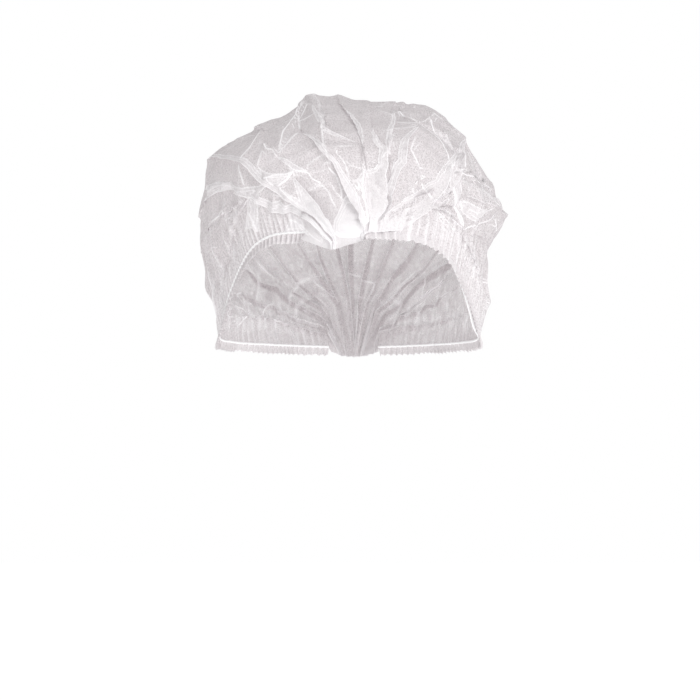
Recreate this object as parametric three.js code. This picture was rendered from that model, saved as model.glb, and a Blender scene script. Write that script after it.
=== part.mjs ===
// Disposable hair cover cap, opened as a head holds it: one pleated sheet of thin non-woven fabric whose
// pleats are sealed together over the forehead and at the nape, with an elastic thread along each side and a
// narrow gathered hem outside the thread. Millimetres, +Z up, -Y to the forehead, +X to the viewer's right.
// The origin is the centre of the head opening, level with the elastic at the ears.
import * as THREE from "three";
import { mergeVertices } from "three/addons/utils/BufferGeometryUtils.js";

// Driving sizes
const FABRIC_WALL = 1.2;
const GATHER_WALL = 1.6;
const ELASTIC_RADIUS = 0.8;
const ELASTIC_SIDES = 6;
const ELASTIC_STEPS = 40;
const PIECE_GAP = 0.4;
const HEM_WIDTH = 6;
const HEM_WAVE_LENGTH = 5.6;
const HEM_WAVE_HEIGHT = 0.9;
const HEM_WAVE_AT_ELASTIC = 0.3;
const HEM_STEPS_PER_WAVE = 4;
const HEM_FLARE = 1.2;
const HEM_START = 0.035;
const HEM_END = 0.972;
const HEAD_DEPTH_TO_WIDTH = 1.15;
const TANGENT_STEP = 0.01;
const CROWN_LENGTH_STEPS = 34;
const CROWN_STEPS_PER_FOLD = 2;
const ARCH_DEPTH_POWER = 1.25;
const GATHER_STEPS_PER_PLEAT = 4;
const GATHER_STEPS_DOWN = 4;
const GATHER_LAP = 0.02;
const GATHER_LIFT = 2.8;

// The folds of the crown from the left elastic over the top to the right one, as the middle section cuts them
// (x and z), and how far each stands out of the smooth form over the forehead (front) and the nape (back):
// ridges are positive and the hollows between them negative.
const FOLDS = [
  { name: "left_edge", x: -81.5, z: 0, front: 0, back: 0 },
  { name: "left_ear_puff", x: -86.5, z: 24, front: 1.5, back: 2 },
  { name: "left_low_puff", x: -93, z: 50, front: 3, back: 3 },
  { name: "left_hollow", x: -91.5, z: 64, front: -3.5, back: -3 },
  { name: "left_side", x: -93.5, z: 77, front: 4, back: 3.5 },
  { name: "left_upper_side", x: -90.5, z: 98, front: -3.5, back: -3 },
  { name: "left_shoulder", x: -88, z: 112, front: 5, back: 4 },
  { name: "left_shoulder_slope", x: -70, z: 121, front: -4, back: -3.5 },
  { name: "left_crest", x: -55.5, z: 130.5, front: 5, back: 4 },
  { name: "left_crest_hollow", x: -44, z: 132, front: -4, back: -3 },
  { name: "peak_foot", x: -33, z: 140, front: 2.5, back: 1 },
  { name: "peak_dip", x: -30, z: 143, front: -2, back: 0 },
  { name: "peak", x: -26, z: 148, front: 5, back: 4 },
  { name: "peak_slope", x: -10, z: 145, front: -4, back: -3 },
  { name: "top_middle", x: 6, z: 143, front: 4, back: 3.5 },
  { name: "top_hollow", x: 20, z: 141, front: -3.5, back: -3.5 },
  { name: "top_right", x: 34, z: 140, front: 4, back: 3.5 },
  { name: "right_crest", x: 49, z: 135.5, front: -3.5, back: -3 },
  { name: "right_shoulder", x: 64, z: 125, front: 5, back: 4 },
  { name: "right_shoulder_hollow", x: 67, z: 113, front: -4, back: -3.5 },
  { name: "right_slope", x: 79, z: 101, front: 4.5, back: 3.5 },
  { name: "right_slope_hollow", x: 83, z: 87, front: -3, back: -2.5 },
  { name: "right_tip", x: 90, z: 76, front: 4, back: 3 },
  { name: "right_waist", x: 80, z: 52, front: -2.5, back: -2 },
  { name: "right_low_puff", x: 80.5, z: 24, front: 2, back: 2.5 },
  { name: "right_edge", x: 74.5, z: 0, front: 0, back: 0 },
];

// Sections from forehead (at 0) to nape (at 1): the width against the middle section, the shift to the right,
// the elastic's depth and height, and the depth and height of the top.
const SECTIONS = [
  { at: 0.0, width: 0.21, shift: -11, edgeY: -89, edgeZ: 59, topY: -98, topZ: 80 },
  { at: 0.1, width: 0.52, shift: -5, edgeY: -77, edgeZ: 57.5, topY: -103, topZ: 105 },
  { at: 0.2, width: 0.73, shift: -1.5, edgeY: -60, edgeZ: 49, topY: -91, topZ: 124 },
  { at: 0.32, width: 0.885, shift: -0.5, edgeY: -36, edgeZ: 27, topY: -61, topZ: 139 },
  { at: 0.42, width: 0.965, shift: 0, edgeY: -14, edgeZ: 8, topY: -27, topZ: 146 },
  { at: 0.5, width: 1.0, shift: 0, edgeY: 7, edgeZ: 0, topY: 8, topZ: 148 },
  { at: 0.6, width: 0.99, shift: 0, edgeY: 28, edgeZ: -2, topY: 48, topZ: 143 },
  { at: 0.7, width: 0.93, shift: 0, edgeY: 46, edgeZ: -3, topY: 84, topZ: 127 },
  { at: 0.8, width: 0.8, shift: 0, edgeY: 62, edgeZ: -4, topY: 110, topZ: 98 },
  { at: 0.9, width: 0.55, shift: 0, edgeY: 76, edgeZ: -5, topY: 118, topZ: 62 },
  { at: 1.0, width: 0.2, shift: 0, edgeY: 86, edgeZ: -6, topY: 106, topZ: 24 },
];

// The sealed ends of the strip: the line in which all pleats are pressed together, and how many show.
const FRONT_SEAL = {
  left: new THREE.Vector3(-31, -93, 55),
  middle: new THREE.Vector3(-13, -101, 49.5),
  right: new THREE.Vector3(6, -97, 55.5),
  pleats: 7,
  pleatHeight: 1,
};
const NAPE_SEAL = {
  left: new THREE.Vector3(-15, 90, -9),
  middle: new THREE.Vector3(0, 95, -11),
  right: new THREE.Vector3(15, 90, -9),
  pleats: 5,
  pleatHeight: 1,
};

// A smooth value of a table's column at a place given in its column "at".
function columnAt(rows, key, place) {
  const last = rows.length - 2;
  const found = rows.findIndex((row, i) => i <= last && place <= rows[i + 1].at);
  const i = found < 0 ? last : found;
  const [a, b] = [rows[i], rows[i + 1]];
  const slope = (p, q) => (q[key] - p[key]) / (q.at - p.at);
  const slopeA = i > 0 ? slope(rows[i - 1], b) : slope(a, b);
  const slopeB = i < last ? slope(a, rows[i + 2]) : slope(a, b);
  const step = b.at - a.at;
  const t = (place - a.at) / step;
  const [t2, t3] = [t * t, t * t * t];
  return (
    a[key] * (2 * t3 - 3 * t2 + 1) +
    slopeA * step * (t3 - 2 * t2 + t) +
    b[key] * (3 * t2 - 2 * t3) +
    slopeB * step * (t3 - t2)
  );
}

// The folds with their place across the crown, by the length along the middle section.
const sectionLengths = [0];
FOLDS.slice(1).forEach((row, i) => {
  sectionLengths.push(sectionLengths[i] + Math.hypot(row.x - FOLDS[i].x, row.z - FOLDS[i].z));
});
const middleLength = sectionLengths[sectionLengths.length - 1];
const placedFolds = FOLDS.map((row, i) => ({ ...row, at: sectionLengths[i] / middleLength }));
const peakHeight = Math.max(...FOLDS.map((row) => row.z));

// The row of values at a place across the crown, straight between two folds.
function foldAt(across) {
  const last = placedFolds.length - 2;
  const found = placedFolds.findIndex((row, i) => i <= last && across <= placedFolds[i + 1].at);
  const [a, b] = [placedFolds[found < 0 ? last : found], placedFolds[(found < 0 ? last : found) + 1]];
  const t = (across - a.at) / (b.at - a.at);
  const mix = (key) => a[key] + (b[key] - a[key]) * t;
  return { x: mix("x"), height: mix("z") / peakHeight, front: mix("front"), back: mix("back") };
}

// The crown before its folds are raised: each section is the middle one, made narrower and leant to its top.
function crownForm(across, along) {
  const fold = foldAt(across);
  const value = (key) => columnAt(SECTIONS, key, along);
  const rise = Math.max(fold.height, 0);
  return new THREE.Vector3(
    value("shift") + value("width") * fold.x,
    value("edgeY") + (value("topY") - value("edgeY")) * rise ** ARCH_DEPTH_POWER,
    value("edgeZ") + (value("topZ") - value("edgeZ")) * fold.height,
  );
}

// How far a fold stands out at a place: nothing at the seals and in the middle section, most between them.
function foldLift(across, along) {
  const fold = foldAt(across);
  return (along < 0.5 ? fold.front : fold.back) * Math.sin(2 * Math.PI * along) ** 2;
}

// Unit normals of a grid of points, from the directions to each point's neighbours.
function gridNormals(grid) {
  const [rows, columns] = [grid.length, grid[0].length];
  return grid.map((row, i) =>
    row.map((_, j) => {
      const down = grid[Math.min(i + 1, rows - 1)][j].clone().sub(grid[Math.max(i - 1, 0)][j]);
      const side = grid[i][Math.min(j + 1, columns - 1)].clone().sub(grid[i][Math.max(j - 1, 0)]);
      return side.cross(down).normalize();
    }),
  );
}

// A closed wall of the given thickness around a grid of points, half of it to each side.
function wallGeometry(grid, wall) {
  const normals = gridNormals(grid);
  const [rows, columns] = [grid.length, grid[0].length];
  const points = [];
  [wall / 2, -wall / 2].forEach((offset) =>
    grid.forEach((row, i) =>
      row.forEach((point, j) => points.push(...point.clone().addScaledVector(normals[i][j], offset).toArray())),
    ),
  );
  const index = (layer, i, j) => layer * rows * columns + i * columns + j;
  const triangles = [];
  const quad = (a, b, c, d) => triangles.push(a, b, c, a, c, d);
  const [lastRow, lastColumn] = [rows - 1, columns - 1];
  for (let i = 0; i < lastRow; i++) {
    for (let j = 0; j < lastColumn; j++) {
      quad(index(0, i, j), index(0, i, j + 1), index(0, i + 1, j + 1), index(0, i + 1, j));
      quad(index(1, i, j), index(1, i + 1, j), index(1, i + 1, j + 1), index(1, i, j + 1));
    }
    quad(index(0, i, 0), index(0, i + 1, 0), index(1, i + 1, 0), index(1, i, 0));
    const [outer, inner] = [index(0, i, lastColumn), index(1, i, lastColumn)];
    quad(outer + columns, outer, inner, inner + columns);
  }
  for (let j = 0; j < lastColumn; j++) {
    quad(index(0, 0, j + 1), index(0, 0, j), index(1, 0, j), index(1, 0, j + 1));
    quad(index(0, lastRow, j), index(0, lastRow, j + 1), index(1, lastRow, j + 1), index(1, lastRow, j));
  }
  const geometry = new THREE.BufferGeometry();
  geometry.setAttribute("position", new THREE.Float32BufferAttribute(points, 3));
  geometry.setIndex(triangles);
  return geometry;
}

function fabric(color) {
  return new THREE.MeshStandardMaterial({ color, roughness: 0.9, metalness: 0, side: THREE.DoubleSide });
}

function namedMesh(name, geometry, material) {
  const mesh = new THREE.Mesh(geometry, material);
  mesh.name = name;
  return mesh;
}

// The elastic's route on one side, on the edge of the crown.
function elasticPoint(side, along) {
  return crownForm(side === "left" ? 0 : 1, along);
}

function elasticCurve(side) {
  return new THREE.CatmullRomCurve3(
    Array.from({ length: ELASTIC_STEPS + 1 }, (_, i) => elasticPoint(side, i / ELASTIC_STEPS)),
  );
}

// The directions out of the head and down from the elastic, the way the hem hangs.
function hemDirections(side, along) {
  const here = elasticPoint(side, along);
  const ahead = elasticPoint(side, along + TANGENT_STEP);
  const tangent = ahead.sub(elasticPoint(side, along - TANGENT_STEP)).normalize();
  const outward = new THREE.Vector3(here.x, here.y / HEAD_DEPTH_TO_WIDTH ** 2, 0).normalize();
  const down = outward.clone().cross(tangent).normalize();
  return { down: down.z > 0 ? down.negate() : down, outward };
}

function crown() {
  const places = [];
  placedFolds.slice(0, -1).forEach((row, i) => {
    for (let k = 0; k < CROWN_STEPS_PER_FOLD; k++) {
      places.push(row.at + ((placedFolds[i + 1].at - row.at) * k) / CROWN_STEPS_PER_FOLD);
    }
  });
  places.push(1);
  const grid = Array.from({ length: CROWN_LENGTH_STEPS + 1 }, (_, i) => {
    const row = places.map((across) => crownForm(across, i / CROWN_LENGTH_STEPS));
    [[0, 1], [places.length - 1, places.length - 2]].forEach(([edge, inner]) => {
      const inward = row[inner].clone().sub(row[edge]).normalize();
      row[edge].addScaledVector(inward, ELASTIC_RADIUS + PIECE_GAP);
    });
    return row;
  });
  const normals = gridNormals(grid);
  grid.forEach((row, i) =>
    row.forEach((point, j) => {
      point.addScaledVector(normals[i][j], foldLift(places[j], i / CROWN_LENGTH_STEPS));
    }),
  );
  return namedMesh("crown", wallGeometry(grid, FABRIC_WALL), fabric(0xe9e7e8));
}

// The gathered hem outside one elastic: a narrow band that waves in and out.
function hem(side) {
  const waves = Math.round(((HEM_END - HEM_START) * elasticCurve(side).getLength()) / HEM_WAVE_LENGTH);
  const steps = waves * HEM_STEPS_PER_WAVE;
  const start = ELASTIC_RADIUS + PIECE_GAP;
  const grid = [0, 1].map((part) =>
    Array.from({ length: steps + 1 }, (_, i) => {
      const along = HEM_START + ((HEM_END - HEM_START) * i) / steps;
      const { down, outward } = hemDirections(side, along);
      const height = HEM_WAVE_HEIGHT * THREE.MathUtils.lerp(HEM_WAVE_AT_ELASTIC, 1, part);
      const wave = height * Math.sin((2 * Math.PI * waves * i) / steps);
      return elasticPoint(side, along)
        .addScaledVector(down, THREE.MathUtils.lerp(start, HEM_WIDTH, part))
        .addScaledVector(outward, wave + HEM_FLARE * part);
    }),
  );
  if (side === "left") grid.reverse();
  return namedMesh("hem_" + side, wallGeometry(grid, FABRIC_WALL), fabric(0xf0eff1));
}

// The elastic thread of one side, round, between the crown's edge and the hem.
function elastic(side) {
  const section = new THREE.Shape(
    Array.from({ length: ELASTIC_SIDES }, (_, i) => {
      const turn = (2 * Math.PI * i) / ELASTIC_SIDES;
      return new THREE.Vector2(ELASTIC_RADIUS * Math.cos(turn), ELASTIC_RADIUS * Math.sin(turn));
    }),
  );
  const route = elasticCurve(side);
  const geometry = new THREE.ExtrudeGeometry(section, { steps: ELASTIC_STEPS, extrudePath: route });
  geometry.deleteAttribute("normal");
  geometry.deleteAttribute("uv");
  const material = new THREE.MeshStandardMaterial({ color: 0xffffff, roughness: 0.6, metalness: 0 });
  return namedMesh("elastic_" + side, mergeVertices(geometry, 1e-3), material);
}

// A fan of pressed pleats from over the end of the crown to the sealed line.
function gather(name, seal, end) {
  const steps = seal.pleats * GATHER_STEPS_PER_PLEAT;
  const lapped = end === 0 ? GATHER_LAP : 1 - GATHER_LAP;
  const line = new THREE.QuadraticBezierCurve3(
    seal.left,
    seal.middle.clone().multiplyScalar(2).sub(seal.left.clone().add(seal.right).multiplyScalar(0.5)),
    seal.right,
  );
  const grid = Array.from({ length: GATHER_STEPS_DOWN + 1 }, (_, k) =>
    Array.from({ length: steps + 1 }, (_, i) =>
      crownForm(i / steps, lapped).lerp(line.getPoint(i / steps), k / GATHER_STEPS_DOWN),
    ),
  );
  if (end === 0) grid.reverse();
  const normals = gridNormals(grid);
  grid.forEach((row, k) =>
    row.forEach((point, i) => {
      const pleat = seal.pleatHeight * Math.cos((2 * Math.PI * seal.pleats * i) / steps);
      point.addScaledVector(normals[k][i], GATHER_LIFT + pleat);
    }),
  );
  return namedMesh(name, wallGeometry(grid, GATHER_WALL), fabric(0xf7f7fa));
}

const cap = new THREE.Group();
cap.add(
  crown(),
  hem("left"),
  hem("right"),
  elastic("left"),
  elastic("right"),
  gather("front_gather", FRONT_SEAL, 0),
  gather("nape_gather", NAPE_SEAL, 1),
);

export default cap;
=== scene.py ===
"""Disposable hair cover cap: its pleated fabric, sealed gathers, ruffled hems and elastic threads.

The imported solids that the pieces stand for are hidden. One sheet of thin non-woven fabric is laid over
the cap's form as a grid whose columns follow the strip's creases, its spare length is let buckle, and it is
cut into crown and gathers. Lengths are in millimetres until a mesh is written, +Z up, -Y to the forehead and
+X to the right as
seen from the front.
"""

import functools
import logging
import math
from dataclasses import dataclass, field
from enum import Enum

import bpy
import numpy as np
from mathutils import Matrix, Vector
from numpy.typing import NDArray


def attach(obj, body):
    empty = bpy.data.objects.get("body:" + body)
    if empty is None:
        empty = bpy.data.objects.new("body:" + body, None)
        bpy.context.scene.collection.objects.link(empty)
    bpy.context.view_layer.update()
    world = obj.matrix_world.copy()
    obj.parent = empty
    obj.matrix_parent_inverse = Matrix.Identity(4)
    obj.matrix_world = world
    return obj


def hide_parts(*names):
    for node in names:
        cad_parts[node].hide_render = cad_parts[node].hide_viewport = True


Array = NDArray[np.float64]
Point = tuple[float, float, float]
Span = tuple[float, float]
Colour = tuple[float, float, float, float]
FrontLine = tuple[tuple[float, ...], ...]

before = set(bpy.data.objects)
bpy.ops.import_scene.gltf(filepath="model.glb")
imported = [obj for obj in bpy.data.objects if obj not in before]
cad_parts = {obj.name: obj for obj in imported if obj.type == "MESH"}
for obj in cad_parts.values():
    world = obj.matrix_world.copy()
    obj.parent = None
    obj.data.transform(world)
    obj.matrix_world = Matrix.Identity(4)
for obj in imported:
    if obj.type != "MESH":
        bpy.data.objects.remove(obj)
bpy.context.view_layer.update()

LOG = logging.getLogger("hair_cover")
METRES = 0.001
LINE_REACH = 6.0
BODY = "root"
TINY = 1e-9
BLACK: Colour = (0, 0, 0, 1)
WHITE: Colour = (1, 1, 1, 1)
MIX_LOW, MIX_HIGH, MIX_RESULT = 6, 7, 2


class Side(Enum):
    """The two sides of the cap, as seen from the front, with the edge of the sheet they are."""

    LEFT = 0
    RIGHT = 1


class End(Enum):
    """The two sealed ends of the strip."""

    FRONT = "front"
    NAPE = "nape"


class Draw(Enum):
    """What the fabric's random numbers are drawn for, each with its seed."""

    LAP = 17
    CREASE = 27
    ROUTE = 37
    FACET_SWAY = 47
    FACET = 67
    FACET_PATCH = 77
    FACET_EDGE = 87
    WRINKLE_SHIFT = 97
    WRINKLE_PATCH = 102
    BUCKLE = 127


@dataclass(frozen=True)
class Fold:
    """A row of the middle section: where a ridge or hollow crosses it."""

    name: str
    x: float
    z: float


@dataclass(frozen=True)
class Section:
    """A section between forehead (at 0) and nape (at 1): its width against the middle one, its shift to the
    right, the elastic's depth and height, and the depth and height of its top."""

    at: float
    width: float
    shift: float
    edge_y: float
    edge_z: float
    top_y: float
    top_z: float


@dataclass(frozen=True)
class Seal:
    """The line in which one end's pleats are pressed together: its ends and its middle."""

    left: Point
    middle: Point
    right: Point


@dataclass(frozen=True)
class Pleat:
    """One crease pair of the strip: a ridge, and the valley that it laps over.

    lean is the side that it laps over, 1 right and -1 left, and height how far the ridge stands out. line is
    where the ridge shows from the front, from the crest to the gather: x and z on the upright plane through
    the origin, and how far it laps over the cloth beside it there.
    """

    name: str
    lean: int
    height: float
    line: FrontLine


@dataclass(frozen=True)
class Crease:
    """A sharp crease across the pleats, as the front shows it: its line, how far it stands out, and its
    width on each side."""

    name: str
    line: FrontLine
    height: float
    width: float


@dataclass(frozen=True)
class Tuck:
    """A lapped patch that doesn't follow a pleat: its outline, as the front shows it."""

    name: str
    outline: FrontLine


@dataclass(frozen=True)
class Crumple:
    """A size of facet in the handled cloth: how large they are, how far the cloth sinks, most between their
    borders where above 0 and most along them where below, and how clearly the borders show."""

    cell: float
    height: float
    show: float


@dataclass(frozen=True)
class Wrinkle:
    """A row of folds square to an elastic: their pitch in ruffles, the span of their distance from the
    thread, and their height."""

    times: float
    near: float
    far: float
    height: float


@dataclass(frozen=True)
class Stage:
    """A stage of the cloth's relaxing: the grid's step, the rounds, the roughness at its start, and how much
    a round straightens the cloth."""

    step: int
    rounds: int
    rough: float
    bend: float


MIDDLE_FOLDS = (
    Fold("left_edge", -81.5, 0),
    Fold("left_ear_puff", -85.5, 24),
    Fold("left_low_puff", -94.5, 48),
    Fold("left_hollow", -91.5, 64),
    Fold("left_side", -95, 78),
    Fold("left_upper_side", -91.5, 98),
    Fold("left_shoulder", -86, 109.5),
    Fold("left_shoulder_slope", -70, 121),
    Fold("left_crest", -51.5, 128.5),
    Fold("left_crest_hollow", -43.5, 129.5),
    Fold("peak_foot", -33, 137),
    Fold("peak_dip", -30, 143),
    Fold("peak", -26, 151),
    Fold("peak_slope", -17.5, 148),
    Fold("top_middle", 1, 139.5),
    Fold("top_hollow", 18, 139.7),
    Fold("top_right", 34, 138.3),
    Fold("right_crest", 49, 136),
    Fold("right_shoulder", 65, 126.5),
    Fold("right_shoulder_hollow", 68, 112),
    Fold("right_slope", 82.5, 104),
    Fold("right_slope_hollow", 94.5, 97),
    Fold("right_tip", 96, 79.5),
    Fold("right_waist", 80, 52),
    Fold("right_low_puff", 79, 24),
    Fold("right_edge", 74.5, 0),
)

SECTIONS = (
    Section(0.0, 0.21, -11, -89, 59, -98, 80),
    Section(0.1, 0.52, -5, -77, 57.5, -103, 105),
    Section(0.2, 0.73, -1.5, -60, 49, -91, 124),
    Section(0.32, 0.885, -0.5, -36, 27, -61, 139),
    Section(0.42, 0.965, 0, -14, 8, -27, 146),
    Section(0.5, 1.0, 0, 7, 0, 8, 148),
    Section(0.6, 0.99, 0, 28, -2, 48, 143),
    Section(0.7, 0.93, 0, 46, -3, 84, 127),
    Section(0.8, 0.8, 0, 62, -4, 110, 98),
    Section(0.9, 0.55, 0, 76, -5, 118, 62),
    Section(1.0, 0.2, 0, 86, -6, 106, 24),
)

SEALS = {
    End.FRONT: Seal((-31, -93, 55), (-13, -101, 49.5), (6, -97, 55.5)),
    End.NAPE: Seal((-15, 90, -9), (0, 95, -11), (15, 90, -9)),
}

PLEATS = (
    Pleat(
        "left_ear_pleat", -1, 2,
        (
            (-90.5, 22, 0.8), (-85.5, 31, 1), (-78, 44.5, 0.8), (-73.5, 57.5, 0.8), (-70, 72, 0.5),
            (-65, 81, 0.5), (-60.5, 83, 0.5), (-54.5, 80, 0.5), (-49, 76.5, 0.5), (-42.5, 75.5, 0.5),
            (-35, 76, 0.5), (-26.5, 70, 0.5), (-15, 56, 0.5),
        ),
    ),
    Pleat(
        "left_cheek_pleat", -1, 2.2,
        (
            (-92.5, 57.5, 0.8), (-85.5, 68.5, 1), (-74.5, 77.5, 1), (-67.5, 82, 0.6), (-61.5, 84.5, 0.5),
            (-55, 81.5, 0.5), (-49.5, 78, 0.5), (-42.5, 76.5, 0.5), (-36, 77.5, 0.5), (-26.5, 71, 0.5),
            (-14.5, 56.5, 0.5),
        ),
    ),
    Pleat(
        "left_lower_band", -1, 2.6,
        (
            (-90, 81.5, 1.5), (-82, 86.5, 2.5), (-73.5, 87.5, 3.5), (-62.5, 82.5, 4), (-55.5, 79, 4),
            (-50.5, 75, 4.5), (-43, 73.5, 5), (-37.5, 75, 5), (-28, 69.5, 3), (-14.5, 56, 1.5),
        ),
    ),
    Pleat(
        "left_shoulder_band", -1, 2.8,
        (
            (-87.5, 107, 1.5), (-77.5, 106, 3), (-65.5, 103, 4), (-58, 94.5, 4), (-49.5, 88, 4.5),
            (-40.5, 82, 4.5), (-33, 77.5, 4), (-24, 71, 4), (-12.5, 57.5, 2),
        ),
    ),
    Pleat(
        "left_crest_pleat", 1, 2,
        (
            (-55, 125, 0.4), (-53.5, 117.5, 0.4), (-47, 109.5, 0.4), (-39, 100.5, 0.4), (-36.5, 95, 0.9),
            (-31.5, 90, 4), (-27.5, 85.5, 7), (-22, 78.5, 9), (-18, 72.5, 9), (-14.5, 67, 8), (-11, 58, 3),
        ),
    ),
    Pleat(
        "centre_left_drape", -1, 2.4,
        (
            (-34, 139, 0.5), (-33.5, 123.5, 1), (-25.5, 118, 1.5), (-18, 108.5, 4.5), (-13, 103.5, 3.5),
            (-11.5, 99.5, 3.5), (-9, 93.5, 5), (-4, 82.5, 8.5), (0, 74.5, 7), (3, 66.5, 4), (5, 60, 1.5),
        ),
    ),
    Pleat(
        "peak_pleat", 1, 1.7,
        (
            (-29.5, 142.5, 0.5), (-21, 130.5, 3), (-13.5, 124, 4), (-6, 119, 2.5), (1, 116.5, 0.8),
            (4, 102.5, 0.4), (5.5, 90.5, 0.4), (6.5, 78.5, 0.4), (6.5, 60, 0.4),
        ),
    ),
    Pleat(
        "second_pleat", -1, 1.4,
        (
            (-8, 142, 0.5), (-3, 134, 1.5), (0, 128, 2.5), (2, 122, 2.5), (4, 116.5, 1.2),
            (6.5, 105.5, 0.4), (8.5, 87.5, 0.4), (9, 78.5, 0.4), (7.5, 60, 0.4),
        ),
    ),
    Pleat(
        "centre_right_drape", 1, 3,
        (
            (9, 142.5, 0.4), (10, 130.5, 0.6), (11.5, 122.5, 1.2), (15, 115.5, 4), (19.5, 111.5, 5),
            (19.5, 102.5, 6), (18, 96.5, 8), (19, 87.5, 11), (18, 78.5, 10), (13.5, 69.5, 7), (8.5, 60, 2),
        ),
    ),
    Pleat(
        "top_cross_pleat", 1, 2,
        (
            (22, 139, 0.6), (24.5, 131, 1.8), (22.5, 123.5, 3), (20.5, 115.5, 2.5), (21.5, 105.5, 0.4),
            (21.5, 90.5, 0.4), (19.5, 78.5, 0.4), (15.5, 69.5, 0.4), (9, 60, 0.4),
        ),
    ),
    Pleat(
        "zigzag_pleat", 1, 2.5,
        (
            (27, 139, 0.4), (33, 130.5, 0.5), (38, 124.5, 0.9), (31.5, 117.5, 4), (30.5, 111.5, 5),
            (30.5, 104, 5), (27.5, 100.5, 5), (25, 93.5, 5), (21.5, 84, 4), (19.5, 76.5, 1),
            (16, 68.5, 0.5), (9.5, 60, 0.4),
        ),
    ),
    Pleat(
        "right_drape", 1, 3.2,
        (
            (39, 137.5, 0.4), (50.5, 129, 0.5), (60.5, 120.5, 0.8), (62.5, 111.5, 1.8), (59, 104, 3.5),
            (55.5, 96.5, 6), (55.5, 87.5, 10), (53.5, 81.5, 12), (47.5, 77.5, 14), (39, 71.5, 16),
            (30.5, 65.5, 17), (25.5, 62, 16), (18, 60.5, 11), (9.5, 59.5, 3),
        ),
    ),
    Pleat(
        "right_shoulder_pleat", 1, 2.5,
        (
            (64.5, 120.5, 0.6), (65.5, 110, 4), (67, 102.5, 6.5), (65, 93.5, 6.5), (64, 84.5, 3),
            (62.5, 79, 0.7), (56.5, 79, 0.5), (49.5, 79.5, 0.5), (41, 77.5, 0.5), (33.5, 73, 0.5),
            (26, 69, 0.5), (21, 65, 0.5), (15, 62.5, 0.5), (9.5, 60.5, 0.5),
        ),
    ),
    Pleat(
        "right_tip_pleat", 1, 2,
        (
            (89, 76.5, 0.6), (80.5, 79.5, 0.6), (73.5, 81.5, 0.6), (65.5, 82, 0.5), (61.5, 78, 0.5),
            (56, 78, 0.5), (49.5, 78, 0.5), (42, 76, 0.5), (34, 72, 0.5), (27, 68, 0.5), (21.5, 64, 0.5),
            (15, 62, 0.5), (9.5, 60, 0.5),
        ),
    ),
    Pleat(
        "right_tip_hollow", -1, 1.8,
        (
            (89, 74.5, 0.6), (80.5, 71, 0.7), (72, 68, 0.7), (66, 69, 0.6), (61.5, 73.5, 0.5),
            (55.5, 76.5, 0.5), (49.5, 76.5, 0.5), (42.5, 75, 0.5), (34.5, 71, 0.5), (27.5, 67, 0.5),
            (21.5, 63.5, 0.5), (15, 61, 0.5), (9.5, 59.5, 0.5),
        ),
    ),
    Pleat(
        "right_cheek_pleat", 1, 2.2,
        (
            (82.5, 51.5, 0.7), (76, 59, 0.8), (68.5, 64, 0.7), (64.5, 63.5, 0.6), (59.5, 71, 0.6),
            (55, 75, 0.5), (49.5, 76, 0.5), (43, 73.5, 0.5), (35, 69.5, 0.5), (28, 66.5, 0.5),
            (21.5, 63, 0.5), (15, 60.5, 0.5), (9.5, 59.5, 0.5),
        ),
    ),
    Pleat(
        "right_ear_pleat", 1, 2.2,
        (
            (78, 22, 1), (74.5, 37, 1.2), (68.5, 51.5, 1), (63, 61, 0.6), (57.5, 69.5, 0.5),
            (53.5, 73, 0.5), (49.5, 75, 0.5), (43.5, 72.5, 0.5), (36, 68.5, 0.5), (28.5, 65.5, 0.5),
            (21.5, 62, 0.5), (15, 60, 0.5), (9.5, 59, 0.5),
        ),
    ),
)

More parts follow.
